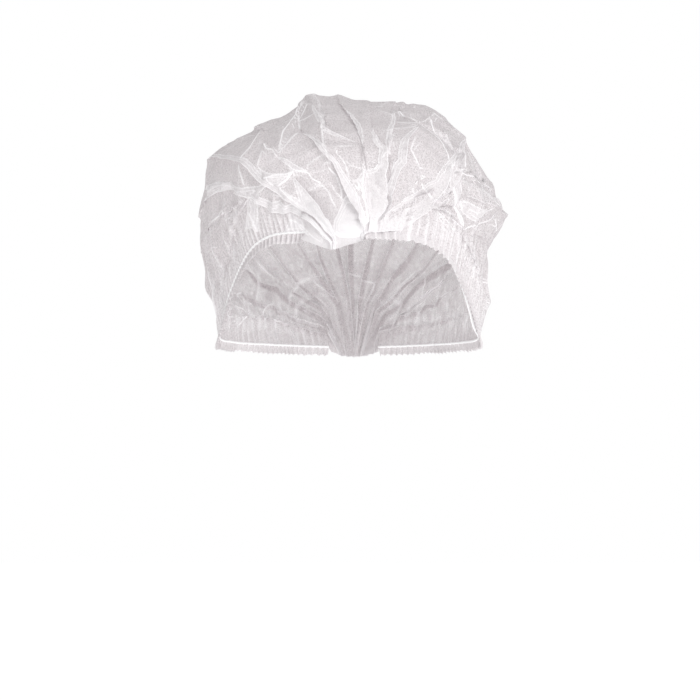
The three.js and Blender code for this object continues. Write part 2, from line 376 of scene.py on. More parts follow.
CREASES = (
    Crease("peak_to_left", ((-30.5, 142), (-35, 132), (-42.5, 121.5), (-45.5, 108.5)), 1.4, 5),
    Crease("peak_foot_line", ((-29.5, 141), (-33.5, 130.5), (-33.5, 123.5)), 1.2, 4),
    Crease("left_facet_edge", ((-33.5, 122.5), (-39.5, 115.5), (-45.5, 108.5)), 1.4, 4),
    Crease(
        "left_centre_zigzag",
        (
            (-45.5, 108.5), (-37, 100), (-28, 98), (-25.5, 94.5), (-20.5, 92), (-16, 86.5), (-13, 79.5),
            (-10, 75),
        ),
        1.1, 4,
    ),
    Crease("left_cross_line", ((-28.5, 87), (-24.5, 88.5), (-20.5, 92)), 0.4, 3),
    Crease("left_upper_cross_line", ((-30.5, 101), (-23.5, 106.5), (-17.5, 110)), 0.3, 3),
    Crease("fan_left_border", ((-17.5, 102.5), (-11.5, 96), (-8.5, 87.5), (-8, 78.5)), 1, 3.5),
    Crease("temple_line", ((-65, 82), (-64, 76.5), (-65, 69.5), (-65.5, 63)), 1.2, 3),
    Crease("temple_second_line", ((-64, 75), (-60, 66.5), (-58, 62)), 1.2, 3),
    Crease("temple_flap_line", ((-58.5, 81.5), (-58.5, 72.5), (-58.5, 67)), 0.8, 3),
    Crease("temple_third_line", ((-51.5, 73), (-51.5, 65)), 0.6, 3),
    Crease("flap_left_line", ((-40.5, 74.5), (-39, 70), (-35, 69), (-31, 63.5), (-27, 59.5)), 1.2, 3),
    Crease("flap_second_line", ((-33.5, 68.5), (-29.5, 64), (-25, 59.5), (-19.5, 56)), 1, 2.5),
    Crease("flap_inner_edge", ((-21.5, 63), (-18.5, 59), (-14.5, 57), (-10, 56)), 1.2, 2.5),
    Crease("left_rise_line", ((-55.5, 94.5), (-48, 96.5), (-41, 97), (-36.5, 99.5)), 1.2, 3.5),
    Crease("left_web_line", ((-47, 89.5), (-41, 93.5), (-36.5, 99)), 1.1, 3),
    Crease("left_web_fall_line", ((-36.5, 99), (-36.5, 94.5)), 0.7, 2.5),
    Crease("left_vertical_line", ((-55, 111.5), (-56.5, 106.5), (-58.5, 101)), 0.7, 3),
    Crease("left_knee_line", ((-54.5, 115.5), (-52.5, 111.5), (-49, 111), (-46.5, 107)), 1.2, 3),
    Crease("left_band_drop_line", ((-68.5, 103.5), (-67, 96.5), (-65.5, 89.5)), 1, 3),
    Crease("shoulder_to_crest_line", ((-54.5, 124.5), (-62.5, 111.5), (-68.5, 105)), 1.1, 4),
    Crease("left_side_line", ((-73.5, 87), (-66.5, 83.5), (-61.5, 82.5), (-56.5, 79.5)), 1, 3),
    Crease("left_side_second_line", ((-77, 78.5), (-73.5, 75.5), (-71, 71)), 1, 3),
    Crease("left_side_third_line", ((-89.5, 85), (-84, 89.5), (-77, 91.5)), 0.7, 3),
    Crease("left_band_upper_line", ((-46.5, 89.5), (-39, 83), (-31.5, 76), (-26.5, 72.5)), 1.3, 3),
    Crease("peak_hanging_line", ((-22.5, 130.5), (-19.5, 117.5), (-14.5, 102)), 1.2, 3.5),
    Crease("fan_top_line", ((-6, 103.5), (0.5, 101), (5, 99.5), (12, 100), (17.5, 103)), 0.5, 3),
    Crease("fan_upright_line", ((5, 99.5), (4, 91.5), (5, 84)), 1.8, 3.5),
    Crease("fan_upright_left_line", ((5, 99), (2, 93.5), (-2, 93)), 0.4, 3),
    Crease("fan_inner_line", ((-2, 93), (4, 84.5), (7, 78), (6.5, 69.5), (5.5, 60.5)), 1.6, 4),
    Crease("crown_edge_line", ((24, 139), (39, 128), (50.5, 118.5), (55.5, 111.5), (58, 104)), 2.2, 5),
    Crease("crown_level_line", ((17.5, 124.5), (27, 124.5), (38, 125)), 1.2, 3.5),
    Crease("crown_hanging_line", ((24.5, 123.5), (22, 117.5), (20.5, 113), (15, 105.5)), 1, 3),
    Crease("crown_long_line", ((37, 122), (33, 111.5), (40, 99.5), (40.5, 90), (48.5, 79)), 1, 3.5),
    Crease("crown_short_line", ((33.5, 84), (36.5, 90), (39, 94.5)), 0.8, 3),
    Crease("shoulder_puff_line", ((46, 135), (48.5, 124.5), (58, 117.5), (61.5, 111.5)), 1.3, 4),
    Crease("shoulder_puff_second_line", ((39, 130.5), (47, 134), (54.5, 128.5)), 0.9, 3.5),
    Crease(
        "shoulder_drop_line",
        ((59.5, 111.5), (58.5, 102.5), (59.5, 90.5), (60.5, 78.5), (65, 63)),
        1.3, 3.5,
    ),
    Crease("shoulder_right_line", ((65.5, 98), (74.5, 94.5), (81.5, 91), (84.5, 88)), 1.2, 3.5),
    Crease("right_slope_line", ((65.5, 111.5), (70, 106.5), (73.5, 98)), 0.7, 3.5),
    Crease("right_tip_line", ((76, 88.5), (81.5, 83.5), (89, 76.5)), 1.3, 3.5),
    Crease("right_fall_line", ((89, 75.5), (81.5, 70), (77, 68), (69, 63.5)), 1.1, 3.5),
    Crease("tip_crescent_upper_line", ((68, 82.5), (74.5, 81), (80.5, 79.5), (86.5, 77.5)), 0.6, 3),
    Crease(
        "tip_crescent_lower_line",
        ((64.5, 79.5), (70, 78), (74.5, 77.5), (79, 75.5), (84.5, 78)),
        0.9, 3,
    ),
    Crease("tip_flap_line", ((65.5, 63), (71.5, 68), (77, 72.5), (78, 76.5)), 0.9, 3),
    Crease("tip_upper_line", ((65.5, 94.5), (69, 90.5), (70, 84)), 0.6, 3),
    Crease("right_low_line", ((54.5, 76.5), (59.5, 69.5), (64.5, 64)), 1.1, 3),
    Crease("right_band_line", ((49.5, 75.5), (54.5, 70), (60.5, 61)), 0.9, 3),
    Crease("right_band_second_line", ((49.5, 75), (53, 66), (56.5, 57.5)), 0.9, 3),
)

TUCKS = (
    Tuck(
        "left_web",
        (
            (-58, 101), (-53.5, 98), (-49, 97), (-41, 97.5), (-36.5, 99), (-40, 94.5), (-46, 89.5),
            (-49.5, 89.5), (-53, 92), (-56, 97),
        ),
    ),
    Tuck(
        "left_knee_band",
        (
            (-46.5, 107.5), (-41, 106), (-37, 103.5), (-33, 101), (-28, 99), (-33, 98.5), (-36.5, 99.5),
            (-40.5, 102.5),
        ),
    ),
    Tuck(
        "left_low_band_start",
        (
            (-90.5, 89.5), (-83.5, 92), (-77, 91.5), (-73, 89.5), (-76, 87), (-82, 86.5), (-87.5, 84.5),
        ),
    ),
    Tuck(
        "left_rising_band",
        (
            (-74.5, 90), (-67.5, 89), (-62.5, 88.5), (-58, 89.5), (-52.5, 91.5), (-55, 88), (-59, 84.5),
            (-64.5, 82.5), (-70, 85),
        ),
    ),
    Tuck(
        "left_lens",
        (
            (-58.5, 84), (-55, 80.5), (-50.5, 79.5), (-45.5, 80.5), (-41, 77.5), (-38, 76.5),
            (-42.5, 74.5), (-46, 73.5), (-49.5, 76), (-52.5, 78), (-56.5, 79.5), (-61, 82.5),
        ),
    ),
    Tuck(
        "temple_flap",
        (
            (-65, 82), (-62.5, 82.5), (-59, 82.5), (-58.5, 78), (-58.5, 72.5), (-59, 68), (-58, 62.5),
            (-62.5, 65), (-65.5, 63.5), (-66, 69), (-64.5, 75), (-65, 79),
        ),
    ),
    Tuck(
        "left_fan_flap",
        (
            (-39.5, 73.5), (-35, 71), (-31.5, 69), (-30, 64), (-35, 63), (-42.5, 62), (-39.5, 68.5),
        ),
    ),
    Tuck(
        "fan_left_wing",
        (
            (-5, 85), (-1, 82), (2.5, 76), (5, 68.5), (5.5, 60.5), (-2, 59.5), (-9, 59.5), (-13, 62),
            (-12.5, 68.5), (-9.5, 75), (-7, 81.5),
        ),
    ),
    Tuck(
        "fan_right_wing",
        (
            (5.5, 99), (13.5, 99.5), (18.5, 94.5), (19.5, 86.5), (18.5, 79), (15, 71), (9, 62), (6.5, 60),
            (6.5, 72.5), (5.5, 81.5), (4, 90.5),
        ),
    ),
    Tuck(
        "fan_spur",
        (
            (5, 99.5), (3, 96.5), (0.5, 93), (3, 89.5), (5, 83.5), (5.5, 90.5),
        ),
    ),
    Tuck(
        "drape_corner",
        (
            (61, 109), (58, 103.5), (55.5, 99), (54.5, 94.5), (55, 88.5), (55, 84), (53, 81), (50.5, 77.5),
            (47, 75.5), (43.5, 73.5), (46, 79.5), (49, 86.5), (49.5, 93.5), (50.5, 99), (56, 104),
        ),
    ),
    Tuck(
        "shoulder_drop",
        (
            (62, 111.5), (64.5, 112), (66, 108.5), (67, 105), (66, 100), (64.5, 95), (64.5, 90), (64, 85),
            (62.5, 79.5), (64, 73), (66, 63.5), (64, 65), (62, 70), (61, 75.5), (59.5, 81), (59, 86.5),
            (59, 93.5), (59, 101), (61, 108),
        ),
    ),
    Tuck(
        "tip_flap",
        (
            (64.5, 79), (70, 78), (74.5, 76.5), (77.5, 75.5), (77, 72.5), (74.5, 69.5), (71.5, 68),
            (67.5, 73), (64, 76.5),
        ),
    ),
)

CRUMPLES = (Crumple(38, 3.4, 0.9), Crumple(25, -2.4, 0.75), Crumple(14, 1.2, 0.6))

WRINKLES = (
    Wrinkle(1.5, 5, 26, 0.8),
    Wrinkle(2.3, 4, 34, 1.5),
    Wrinkle(4, 10, 44, 1.8),
    Wrinkle(7, 20, 62, 2),
)

STAGES = (Stage(4, 80, 0.8, 0.02), Stage(2, 40, 0.35, 0.02), Stage(1, 14, 0.1, 0.006))


def lerp(a: Array, b: Array, part: Array) -> Array:
    """The point at part of the way from a to b."""
    return a + (b - a) * part


def smooth_step(low: float, high: float, value: Array) -> Array:
    """0 below low and 1 above high, with 3 t squared less 2 t cubed between them."""
    t = np.clip((value - low) / (high - low), 0, 1)
    return t * t * (3 - 2 * t)


def triangle_wave(phase: Array) -> Array:
    """A folded line between -1 and 1: 1 less 4 times the distance of the phase from its nearest integer."""
    return 1 - 4 * np.abs(phase - np.round(phase))


def unit(vectors: Array) -> Array:
    """The vectors at length 1."""
    return vectors / np.maximum(np.linalg.norm(vectors, axis=-1, keepdims=True), TINY)


def run_length(points: Array, axis: int) -> Array:
    """The length along a grid's rows or columns to each of its points, from the first in that direction."""
    steps = np.linalg.norm(np.diff(points, axis=axis), axis=-1)
    return np.insert(np.cumsum(steps, axis=axis), 0, 0, axis=axis)


def column(rows: tuple[Section, ...], key: str, place: Array) -> Array:
    """A table's column at the given places, on a cubic through its rows.

    Args:
        rows: The sections, in the order of their places.
        key: The column's name.
        place: Where it is asked for, in any shape.

    Returns:
        The values: each stretch is the Hermite cubic whose slope at a row is that between its neighbours.
    """
    at = np.array([row.at for row in rows])
    value = np.array([getattr(row, key) for row in rows], float)
    slope = np.gradient(value, at)
    slope[1:-1] = (value[2:] - value[:-2]) / (at[2:] - at[:-2])
    i = np.clip(np.searchsorted(at, place) - 1, 0, len(rows) - 2)
    step = at[i + 1] - at[i]
    t = np.clip((place - at[i]) / step, 0, 1)
    return (
        value[i] * (2 * t**3 - 3 * t**2 + 1)
        + slope[i] * step * (t**3 - 2 * t**2 + t)
        + value[i + 1] * (3 * t**2 - 2 * t**3)
        + slope[i + 1] * step * (t**3 - t**2)
    )


def resample(values: Array, rows: int, columns: int) -> Array:
    """A grid of values at another resolution, straight between its samples along both directions."""
    for axis, count in ((0, rows), (1, columns)):
        place = np.linspace(0, values.shape[axis] - 1, count)
        i = np.minimum(place.astype(int), values.shape[axis] - 2)
        part = (place - i).reshape([-1 if k == axis else 1 for k in range(values.ndim)])
        values = lerp(np.take(values, i, axis), np.take(values, i + 1, axis), part)
    return values


@dataclass
class SpaceNoise:
    """Smooth noise between about -1 and 1 in space: random heights on a lattice, joined by cubic steps."""

    seed: int
    cell: float
    size: int = 48

    def __post_init__(self) -> None:
        rng = np.random.default_rng(self.seed)
        self.lattice = rng.uniform(-1, 1, (self.size,) * 3)
        turn = rng.normal(size=(3, 3))
        self.turn = np.linalg.qr(turn)[0]

    def at(self, points: Array) -> Array:
        """The noise at the points, on a lattice turned to no axis of the cap."""
        place = points @ self.turn / self.cell + self.size / 2
        i = np.floor(place).astype(int)
        t = place - i
        t = t * t * (3 - 2 * t)
        total = np.zeros(points.shape[:-1])
        for corner in range(8):
            step = [(corner >> k) & 1 for k in range(3)]
            weight = np.ones(points.shape[:-1])
            for k in range(3):
                weight = weight * (t[..., k] if step[k] else 1 - t[..., k])
            node = tuple((i[..., k] + step[k]) % self.size for k in range(3))
            total += weight * self.lattice[node]
        return total


def drawn_noise(draw: Draw, place: Array, cell: float, index: int = 0) -> Array:
    """Smooth noise at the places, from the draw's own seed and a step from it."""
    return SpaceNoise(draw.value + index, cell).at(place)


@dataclass
class CapForm:
    """The cap's smooth outer form, as a surface over two places.

    across runs from the left elastic (0) over the top to the right one (1), and along from the forehead's
    arch (0) to the nape's (1). Past both ends, as far as gather, the surface runs on to the sealed lines, and
    a little past them.
    """

    arch_power: float = 1.25
    gather: float = 0.09
    full_height: float = 148
    step: float = 0.003

    def __post_init__(self) -> None:
        x = np.array([fold.x for fold in MIDDLE_FOLDS], float)
        z = np.array([fold.z for fold in MIDDLE_FOLDS], float)
        length = np.concatenate([[0], np.cumsum(np.hypot(np.diff(x), np.diff(z)))])
        self.fold_at = length / length[-1]
        self.fold_x = x
        self.fold_height = z / self.full_height

    def points(self, across: Array, along: Array) -> Array:
        """Points of the form.

        Args:
            across: Places across, in any shape.
            along: Places along, in the same shape.

        Returns:
            The points, with x, y and z last. Within 0 to 1 the x is the section's shift plus its width
            times the middle section's x, and y and z go from the elastic to the top with the middle
            section's height, y with its power arch_power. Beyond, a point lies on the straight line from
            the end arch through the sealed line.
        """
        inner = self._arch(across, np.clip(along, 0, 1))
        front = np.maximum(-along / self.gather, 0)[..., None]
        nape = np.maximum((along - 1) / self.gather, 0)[..., None]
        inner = lerp(inner, self._seal(across, End.FRONT), front)
        return lerp(inner, self._seal(across, End.NAPE), nape)

    def frame(self, across: Array, along: Array) -> tuple[Array, Array, Array]:
        """The unit normal, pointing out, the unit direction across and the millimetres per unit across."""
        side = self.points(across + self.step, along) - self.points(across - self.step, along)
        down = self.points(across, along + self.step) - self.points(across, along - self.step)
        size = np.linalg.norm(side, axis=-1) / (2 * self.step)
        return unit(np.cross(side, down)), unit(side), size

    def _arch(self, across: Array, along: Array) -> Array:
        """The form between the two end arches."""
        x = np.interp(across, self.fold_at, self.fold_x)
        height = np.interp(across, self.fold_at, self.fold_height)
        keys = [key for key in Section.__dataclass_fields__ if key != "at"]
        value = {key: column(SECTIONS, key, along) for key in keys}
        rise = np.maximum(height, 0) ** self.arch_power
        return np.stack(
            [
                value["shift"] + value["width"] * x,
                value["edge_y"] + (value["top_y"] - value["edge_y"]) * rise,
                value["edge_z"] + (value["top_z"] - value["edge_z"]) * height,
            ],
            axis=-1,
        )

    def _seal(self, across: Array, end: End) -> Array:
        """The sealed line: a parabola through its three points."""
        seal = SEALS[end]
        a, b, c = (np.array(point, float) for point in (seal.left, seal.middle, seal.right))
        t = np.clip(across, 0, 1)[..., None]
        return a * (1 - t) * (1 - 2 * t) + b * 4 * t * (1 - t) + c * t * (2 * t - 1)


@dataclass(frozen=True)
class FrontView:
    """The camera's place. It looks along +Y."""

    eye: Point = (-3, -1790, -8)

    def on_plane(self, points: Array) -> tuple[Array, Array]:
        """Where points show on the upright plane through the origin: x and z, scaled by their distance."""
        scale = -self.eye[1] / (points[..., 1] - self.eye[1])
        x = self.eye[0] + (points[..., 0] - self.eye[0]) * scale
        z = self.eye[2] + (points[..., 2] - self.eye[2]) * scale
        return x, z


@dataclass
class Route:
    """A line of straight stretches on the front view's plane, with further numbers at its corners."""

    line: FrontLine

    def __post_init__(self) -> None:
        self.corner = np.array(self.line, float)
        self.lengths = np.hypot(*np.diff(self.corner[:, :2], axis=0).T)
        self.begin = np.concatenate([[0], np.cumsum(self.lengths)])

    def samples(self, spacing: float) -> Array:
        """Points on the line, about spacing apart, with their further numbers."""
        place = np.linspace(0, self.begin[-1], max(int(self.begin[-1] / spacing), 2))
        return np.stack([np.interp(place, self.begin, values) for values in self.corner.T], axis=-1)

    def distance(self, x: Array, z: Array) -> tuple[Array, Array]:
        """For places on the plane: the distance from the line, below 0 on its left, and the share of its
        run."""
        best = np.full(x.shape, np.inf)
        run = np.zeros(x.shape)
        for k, length in enumerate(self.lengths):
            way = (self.corner[k + 1, :2] - self.corner[k, :2]) / length
            dx, dz = x - self.corner[k, 0], z - self.corner[k, 1]
            t = np.clip(dx * way[0] + dz * way[1], 0, length)
            gap = np.hypot(dx - t * way[0], dz - t * way[1])
            nearer = gap < np.abs(best)
            best = np.where(nearer, np.where(dx * way[1] > dz * way[0], gap, -gap), best)
            run = np.where(nearer, (self.begin[k] + t) / self.begin[-1], run)
        return best, run

    def inside(self, x: Array, z: Array) -> Array:
        """For places on the plane: how far inside the closed line they are, below 0 outside.

        A place is inside where a ray from it to the right crosses an odd number of stretches.
        """
        distance, _ = self.distance(x, z)
        odd = np.zeros(x.shape, bool)
        for (ax, az), (bx, bz) in zip(self.corner[:-1, :2], self.corner[1:, :2]):
            if az != bz:
                odd ^= ((az > z) != (bz > z)) & (x < ax + (z - az) * (bx - ax) / (bz - az))
        return np.where(odd, np.abs(distance), -np.abs(distance))


@dataclass
class Facets:
    """Facets of crumpled cloth on a plane: each place belongs to the nearest of many scattered centres."""

    seed: int
    cell: float
    size: int = 64
    no_border: float = 2.0

    def __post_init__(self) -> None:
        rng = np.random.default_rng(self.seed)
        self.shift = rng.uniform(0.05, 0.95, (self.size, self.size, 2))
        self.kind = rng.choice((-1.0, 1.0), (self.size, self.size))

    def at(self, flat: Array) -> tuple[Array, Array]:
        """For places on the plane: the distance from the nearest centre, and from the nearest creased border.

        A border is where two centres are equally near, so its distance is the difference of their squared
        distances over twice the length between them. Facets are of two kinds at random, and a border is
        creased where they differ: its distance is below 0 on the facets of the first kind.
        """
        place = flat / self.cell
        square = np.floor(place).astype(int)
        centres = []
        kinds = []
        for step in np.ndindex(3, 3):
            near = square + np.array(step) - 1
            at = (near[..., 0] % self.size, near[..., 1] % self.size)
            centres.append(near + self.shift[at])
            kinds.append(self.kind[at])
        centre = np.stack(centres)
        kind = np.stack(kinds)
        away = ((centre - place) ** 2).sum(-1)
        first = away.argmin(0)[None]
        least = np.take_along_axis(away, first, 0)
        chosen = np.take_along_axis(centre, first[..., None], 0)
        own = np.take_along_axis(kind, first, 0)
        apart = np.linalg.norm(centre - chosen, axis=-1)
        border = np.where(kind == own, self.no_border, (away - least) / (2 * np.maximum(apart, TINY)))
        return np.sqrt(least[0]) * self.cell, own[0] * border.min(0) * self.cell


def evened(distance: Array, points: Array, least: float = 0.4, most: float = 2.5) -> Array:
    """Signed distances from lines, measured in any way, as millimetres on the points' surface.

    Args:
        distance: The distances, a grid.
        points: The points, a grid of the same shape.
        least: The least slope that a distance is divided by.
        most: The greatest.

    Returns:
        The distances, each divided by its own slope on the surface.
    """
    slopes = []
    for axis in (0, 1):
        step = np.linalg.norm(np.gradient(points, axis=axis), axis=-1)
        slopes.append(np.gradient(distance, axis=axis) / np.maximum(step, TINY))
    return distance / np.clip(np.hypot(*slopes), least, most)


@dataclass
class Marks:
    """The crease lines drawn on the cloth: for each point the signed distance from the nearest, and how
    strongly it shows there."""

    shape: tuple[int, int]
    reach: float = 4.0
    full_to: float = 2.4

    def __post_init__(self) -> None:
        self.line = np.full(self.shape, self.reach)
        self.show = np.zeros(self.shape)

    def add(self, distance: Array, show: Array) -> None:
        """Takes in more lines, where they are nearer than those before them or show more."""
        show = show * smooth_step(self.reach, self.full_to, np.abs(distance))
        new = np.abs(distance) + self.reach * (1 - show)
        old = np.abs(self.line) + self.reach * (1 - self.show)
        self.line = np.where(new < old, np.clip(distance, -self.reach, self.reach), self.line)
        self.show = np.where(new < old, show, self.show)


@dataclass
class Buckling:
    """Relaxes a grid of cloth whose threads are longer than the form under them.

    Each round moves the ends of every edge and diagonal towards their rest lengths, straightens sharp bends a
    little, and keeps each point within reach of the form. Spare length so turns into folds.
    """

    goal: Array
    spare_across: Array
    spare_along: Array
    reach: Array
    held: Array
    bend: float

    def __post_init__(self) -> None:
        across = np.diff(self.goal, axis=1)
        along = np.diff(self.goal, axis=0)
        more_across = 1 + 0.5 * (self.spare_across[:, 1:] + self.spare_across[:, :-1])
        more_along = 1 + 0.5 * (self.spare_along[1:] + self.spare_along[:-1])
        self.rest_across = np.linalg.norm(across, axis=-1) * more_across
        self.rest_along = np.linalg.norm(along, axis=-1) * more_along
        a = unit(0.5 * (across[1:] + across[:-1]))
        b = unit(0.5 * (along[:, 1:] + along[:, :-1]))
        cosine = (a * b).sum(-1)
        ra = 0.5 * (self.rest_across[1:] + self.rest_across[:-1])
        rb = 0.5 * (self.rest_along[:, 1:] + self.rest_along[:, :-1])
        self.rest_fall = np.sqrt(ra**2 + rb**2 + 2 * ra * rb * cosine)
        self.rest_rise = np.sqrt(ra**2 + rb**2 - 2 * ra * rb * cosine)
        self.weight = 1.0 - self.held

    def relax(self, points: Array, rounds: int) -> Array:
        """Runs the given number of rounds on the points and returns them."""
        points = points.copy()
        free = self.weight[..., None]
        for _ in range(rounds):
            self._edges(points)
            shift = points - self.goal
            distance = np.linalg.norm(shift, axis=-1, keepdims=True)
            limit = self.reach[..., None]
            points = self.goal + shift * np.minimum(1, limit / np.maximum(distance, TINY)) * free
        return points

    def _edges(self, p: Array) -> None:
        """Moves the ends of all edges, in batches whose edges share no point."""
        w = self.weight
        for k in (0, 1):
            one, two = np.s_[k:-1:2], np.s_[k + 1 :: 2]
            every = np.s_[k::2]
            self._pull(p[:, one], p[:, two], self.rest_across[:, every], w[:, one], w[:, two])
            low, high, low_free, high_free = p[one], p[two], w[one], w[two]
            self._pull(low, high, self.rest_along[every], low_free, high_free)
            self._pull(low[:, :-1], high[:, 1:], self.rest_fall[every], low_free[:, :-1], high_free[:, 1:])
            self._pull(low[:, 1:], high[:, :-1], self.rest_rise[every], low_free[:, 1:], high_free[:, :-1])
        self._straighten(p)

    def _pull(self, a: Array, b: Array, rest: Array, wa: Array, wb: Array) -> None:
        """Moves the two ends of a batch of edges to their rest length, in place."""
        edge = b - a
        length = np.sqrt((edge * edge).sum(-1))
        total = np.maximum(wa + wb, TINY)
        push = ((length - rest) / np.maximum(length, TINY) / total)[..., None] * edge
        a += push * wa[..., None]
        b -= push * wb[..., None]

    def _straighten(self, p: Array) -> None:
        """Moves each point a little towards the middle of its neighbours in both directions."""
        w = self.weight[1:-1, 1:-1, None]
        middle = 0.25 * (p[1:-1, 2:] + p[1:-1, :-2] + p[2:, 1:-1] + p[:-2, 1:-1])
        p[1:-1, 1:-1] += self.bend * w * (middle - p[1:-1, 1:-1])


@dataclass(frozen=True)
class Ruffle:
    """The fine waves into which an elastic gathers the cloth's edge."""

    pitch: float = 3.4
    height: float = 0.55
    wander: float = 1.6
    wander_cell: float = 17
    broad_times: float = 2.2
    broad_height: float = 1.1
    # Crest whiteness of the broad pleats: partly the folded cloth, partly a painted highlight.
    broad_crest: float = 0.8
    broad_white: float = 0.7
    broad_start: Span = (-0.03, 0.01)
    broad_end: Span = (0.27, 0.2)
    side_step: float = 200.0
    seed: int = 31

    def phase(self, thread: Array, side: Array) -> Array:
        """The waves' phase in turns at a length along the thread: evenly spaced waves, shifted by noise."""
        noise = SpaceNoise(self.seed, self.wander_cell)
        place = np.stack([thread, self.side_step * side, np.zeros_like(thread)], axis=-1)
        return thread / self.pitch + self.wander * noise.at(place)

    def broad(self, phase: Array) -> tuple[Array, Array]:
        """The broad upright pleats right of the weld: how far they stand out, and how near a crest is, as a
        whiteness that is partly the folded cloth and partly a painted highlight on the crests.
        """
        turn = phase / self.broad_times
        off = np.abs(turn - np.round(turn)) * self.broad_times * self.pitch
        crest = self.broad_white * np.exp(-((off / self.broad_crest) ** 2))
        return self.broad_height * triangle_wave(turn), crest

    def broad_rows(self, along: Array) -> Array:
        """1 at the places along where the right side has its broad pleats, else 0."""
        return smooth_step(*self.broad_start, along) * smooth_step(*self.broad_end, along)


@dataclass
class Sheet:
    """A grid of cloth ready to be cut into pieces: points, places on the flat cloth, the numbers that the
    finish reads at each point, and the columns that are sharp folds."""

    points: Array
    flat: Array
    values: dict[str, Array]
    folds: Array = field(default_factory=lambda: np.zeros(0, int))

    def rows(self, first: int, last: int) -> "Sheet":
        """The part between two rows, both with it."""
        span = slice(first, last + 1)
        values = {key: value[span] for key, value in self.values.items()}
        return Sheet(self.points[span], self.flat[span], values, self.folds)

    def turned(self) -> "Sheet":
        """The same cloth with its columns in the other order."""
        values = {key: value[:, ::-1] for key, value in self.values.items()}
        return Sheet(self.points[:, ::-1], self.flat[:, ::-1], values)


@dataclass
class Pleating:
    """The cloth's pleats, as a grid whose columns are places on the flat cloth.

    Each pleat's ridge and valley is a column of its own, so a crease is an edge of the mesh. A span is where
    something fades in, from its first number to its second: along the cap, or over a pleat's lap where its
    name says so. Shares are the least and the most of a height. A cell is the size of noise.
    """

    form: CapForm
    view: FrontView
    flat_width: float = 430
    flat_length: float = 380
    crown_length: float = 340
    return_columns: int = 5
    lead_columns: int = 211
    rows_front_gather: int = 30
    rows_front: int = 176
    rows_back: int = 114
    rows_nape_gather: int = 20
    past_seal: float = 0.03
    seen_grid: tuple[int, int] = (280, 360)
    front_seen: float = 0.47
    first_ridge: float = 0.012
    least_gap: float = 0.003
    least_edge: float = 0.004
    least_panel: float = 5.0
    least_columns: int = 4
    columns_at_knots: float = 0.6
    sample_spacing: float = 1.2
    smoothings: int = 3
    open_return: float = 2.5
    nape_lap: float = 4.0
    nape_lap_sway: float = 0.5
    ridge_shares: Span = (0.1, 0.8)
    valley_depth: float = 0.6
    valley_shares: Span = (0.2, 1.0)
    front_valley: float = 0.3
    seal_room: float = 0.6
    ruled: float = 0.85
    wander: float = 0.012
    wander_cell: float = 0.13
    lap_cell: float = 0.11
    pleats_open: Span = (0.38, 0.5)
    pleats_even: Span = (0.46, 0.85)
    pleats_pressed: Span = (0.0, -0.07)
    front_valleys: Span = (0.65, 0.45)
    nape_folds: Span = (0.62, 0.96)
    wander_starts: Span = (0.3, 0.5)
    wander_ends: Span = (1.05, 0.9)
    arches: Span = (0.12, 0.88)
    open_lap_span: Span = (0.3, -0.5)
    ridge_lap_span: Span = (0.3, 3)
    valley_lap_span: Span = (0.3, 2)

    def __post_init__(self) -> None:
        self.along = self._row_places()
        self.ridges, self.laps = self._ridge_routes()
        self.knot_place, self.knot_height = self._knots()
        self.knots = self._flat_places()
        self.flat_at = self._column_places()

    def _row_places(self) -> Array:
        """The rows' places along, close together over the forehead."""
        end = self.form.gather * (1 + self.past_seal)
        stretches = (
            (-end, 0, self.rows_front_gather),
            (0, 0.5, self.rows_front),
            (0.5, 1, self.rows_back),
            (1, 1 + end, self.rows_nape_gather),
        )
        rows = [np.linspace(a, b, count, endpoint=False) for a, b, count in stretches]
        return np.concatenate([*rows, [1 + end]])

    def _seen_places(self) -> tuple[Array, Array, Array, Array]:
        """A fine grid of the form's front: where it shows on the view's plane, and its places."""
        rows, columns = self.seen_grid
        along = np.linspace(-self.form.gather, self.front_seen, rows)
        along, across = np.meshgrid(along, np.linspace(0, 1, columns), indexing="ij")
        x, z = self.view.on_plane(self.form.points(across, along))
        return x.ravel(), z.ravel(), across.ravel(), along.ravel()

    def _ridge_routes(self) -> tuple[Array, Array]:
        """The ridges' places across and their laps, a row for each grid row and a column for each pleat.

        On the front a ridge follows its drawn line: each of the line's points takes the places of the form's
        point that shows nearest to it. Over the top it opens, and down the back it runs on to its even place
        at the nape. Neighbouring ridges keep at least least_gap apart. A lap below 0 is an open pleat.
        """
        x, z, across, along = self._seen_places()
        rows = self.along
        routes = np.zeros((len(rows), len(PLEATS)))
        laps = np.zeros((len(rows), len(PLEATS)))
        crest = smooth_step(*self.pleats_open, rows)
        back = smooth_step(*self.pleats_even, rows)
        open_back = smooth_step(*self.wander_starts, rows) * smooth_step(*self.wander_ends, rows)
        place = np.stack([rows, rows * 0.3, rows * 0], axis=-1)
        for k, pleat in enumerate(PLEATS):
            samples = Route(pleat.line).samples(self.sample_spacing)
            nearest = np.argmin((samples[:, :1] - x) ** 2 + (samples[:, 1:2] - z) ** 2, axis=1)
            seen = np.minimum.accumulate(along[nearest])[::-1] + 1e-6 * np.arange(len(samples))
            route = np.interp(rows, seen, across[nearest][::-1])
            wander = self.wander * drawn_noise(Draw.ROUTE, place, self.wander_cell, k) * open_back
            routes[:, k] = lerp(route, (k + 1) / (len(PLEATS) + 1), back) + wander
            lap = lerp(np.interp(rows, seen, samples[::-1, 2]), -self.open_return, crest)
            lively = 0.7 + self.nape_lap_sway * drawn_noise(Draw.LAP, place, self.lap_cell, k)
            laps[:, k] = lerp(lap, self.nape_lap * lively, smooth_step(*self.nape_folds, rows))
        for _ in range(self.smoothings):
            routes[1:-1] = 0.25 * routes[:-2] + 0.5 * routes[1:-1] + 0.25 * routes[2:]
            laps[1:-1] = 0.25 * laps[:-2] + 0.5 * laps[1:-1] + 0.25 * laps[2:]
        return self._kept_apart(routes, laps), laps

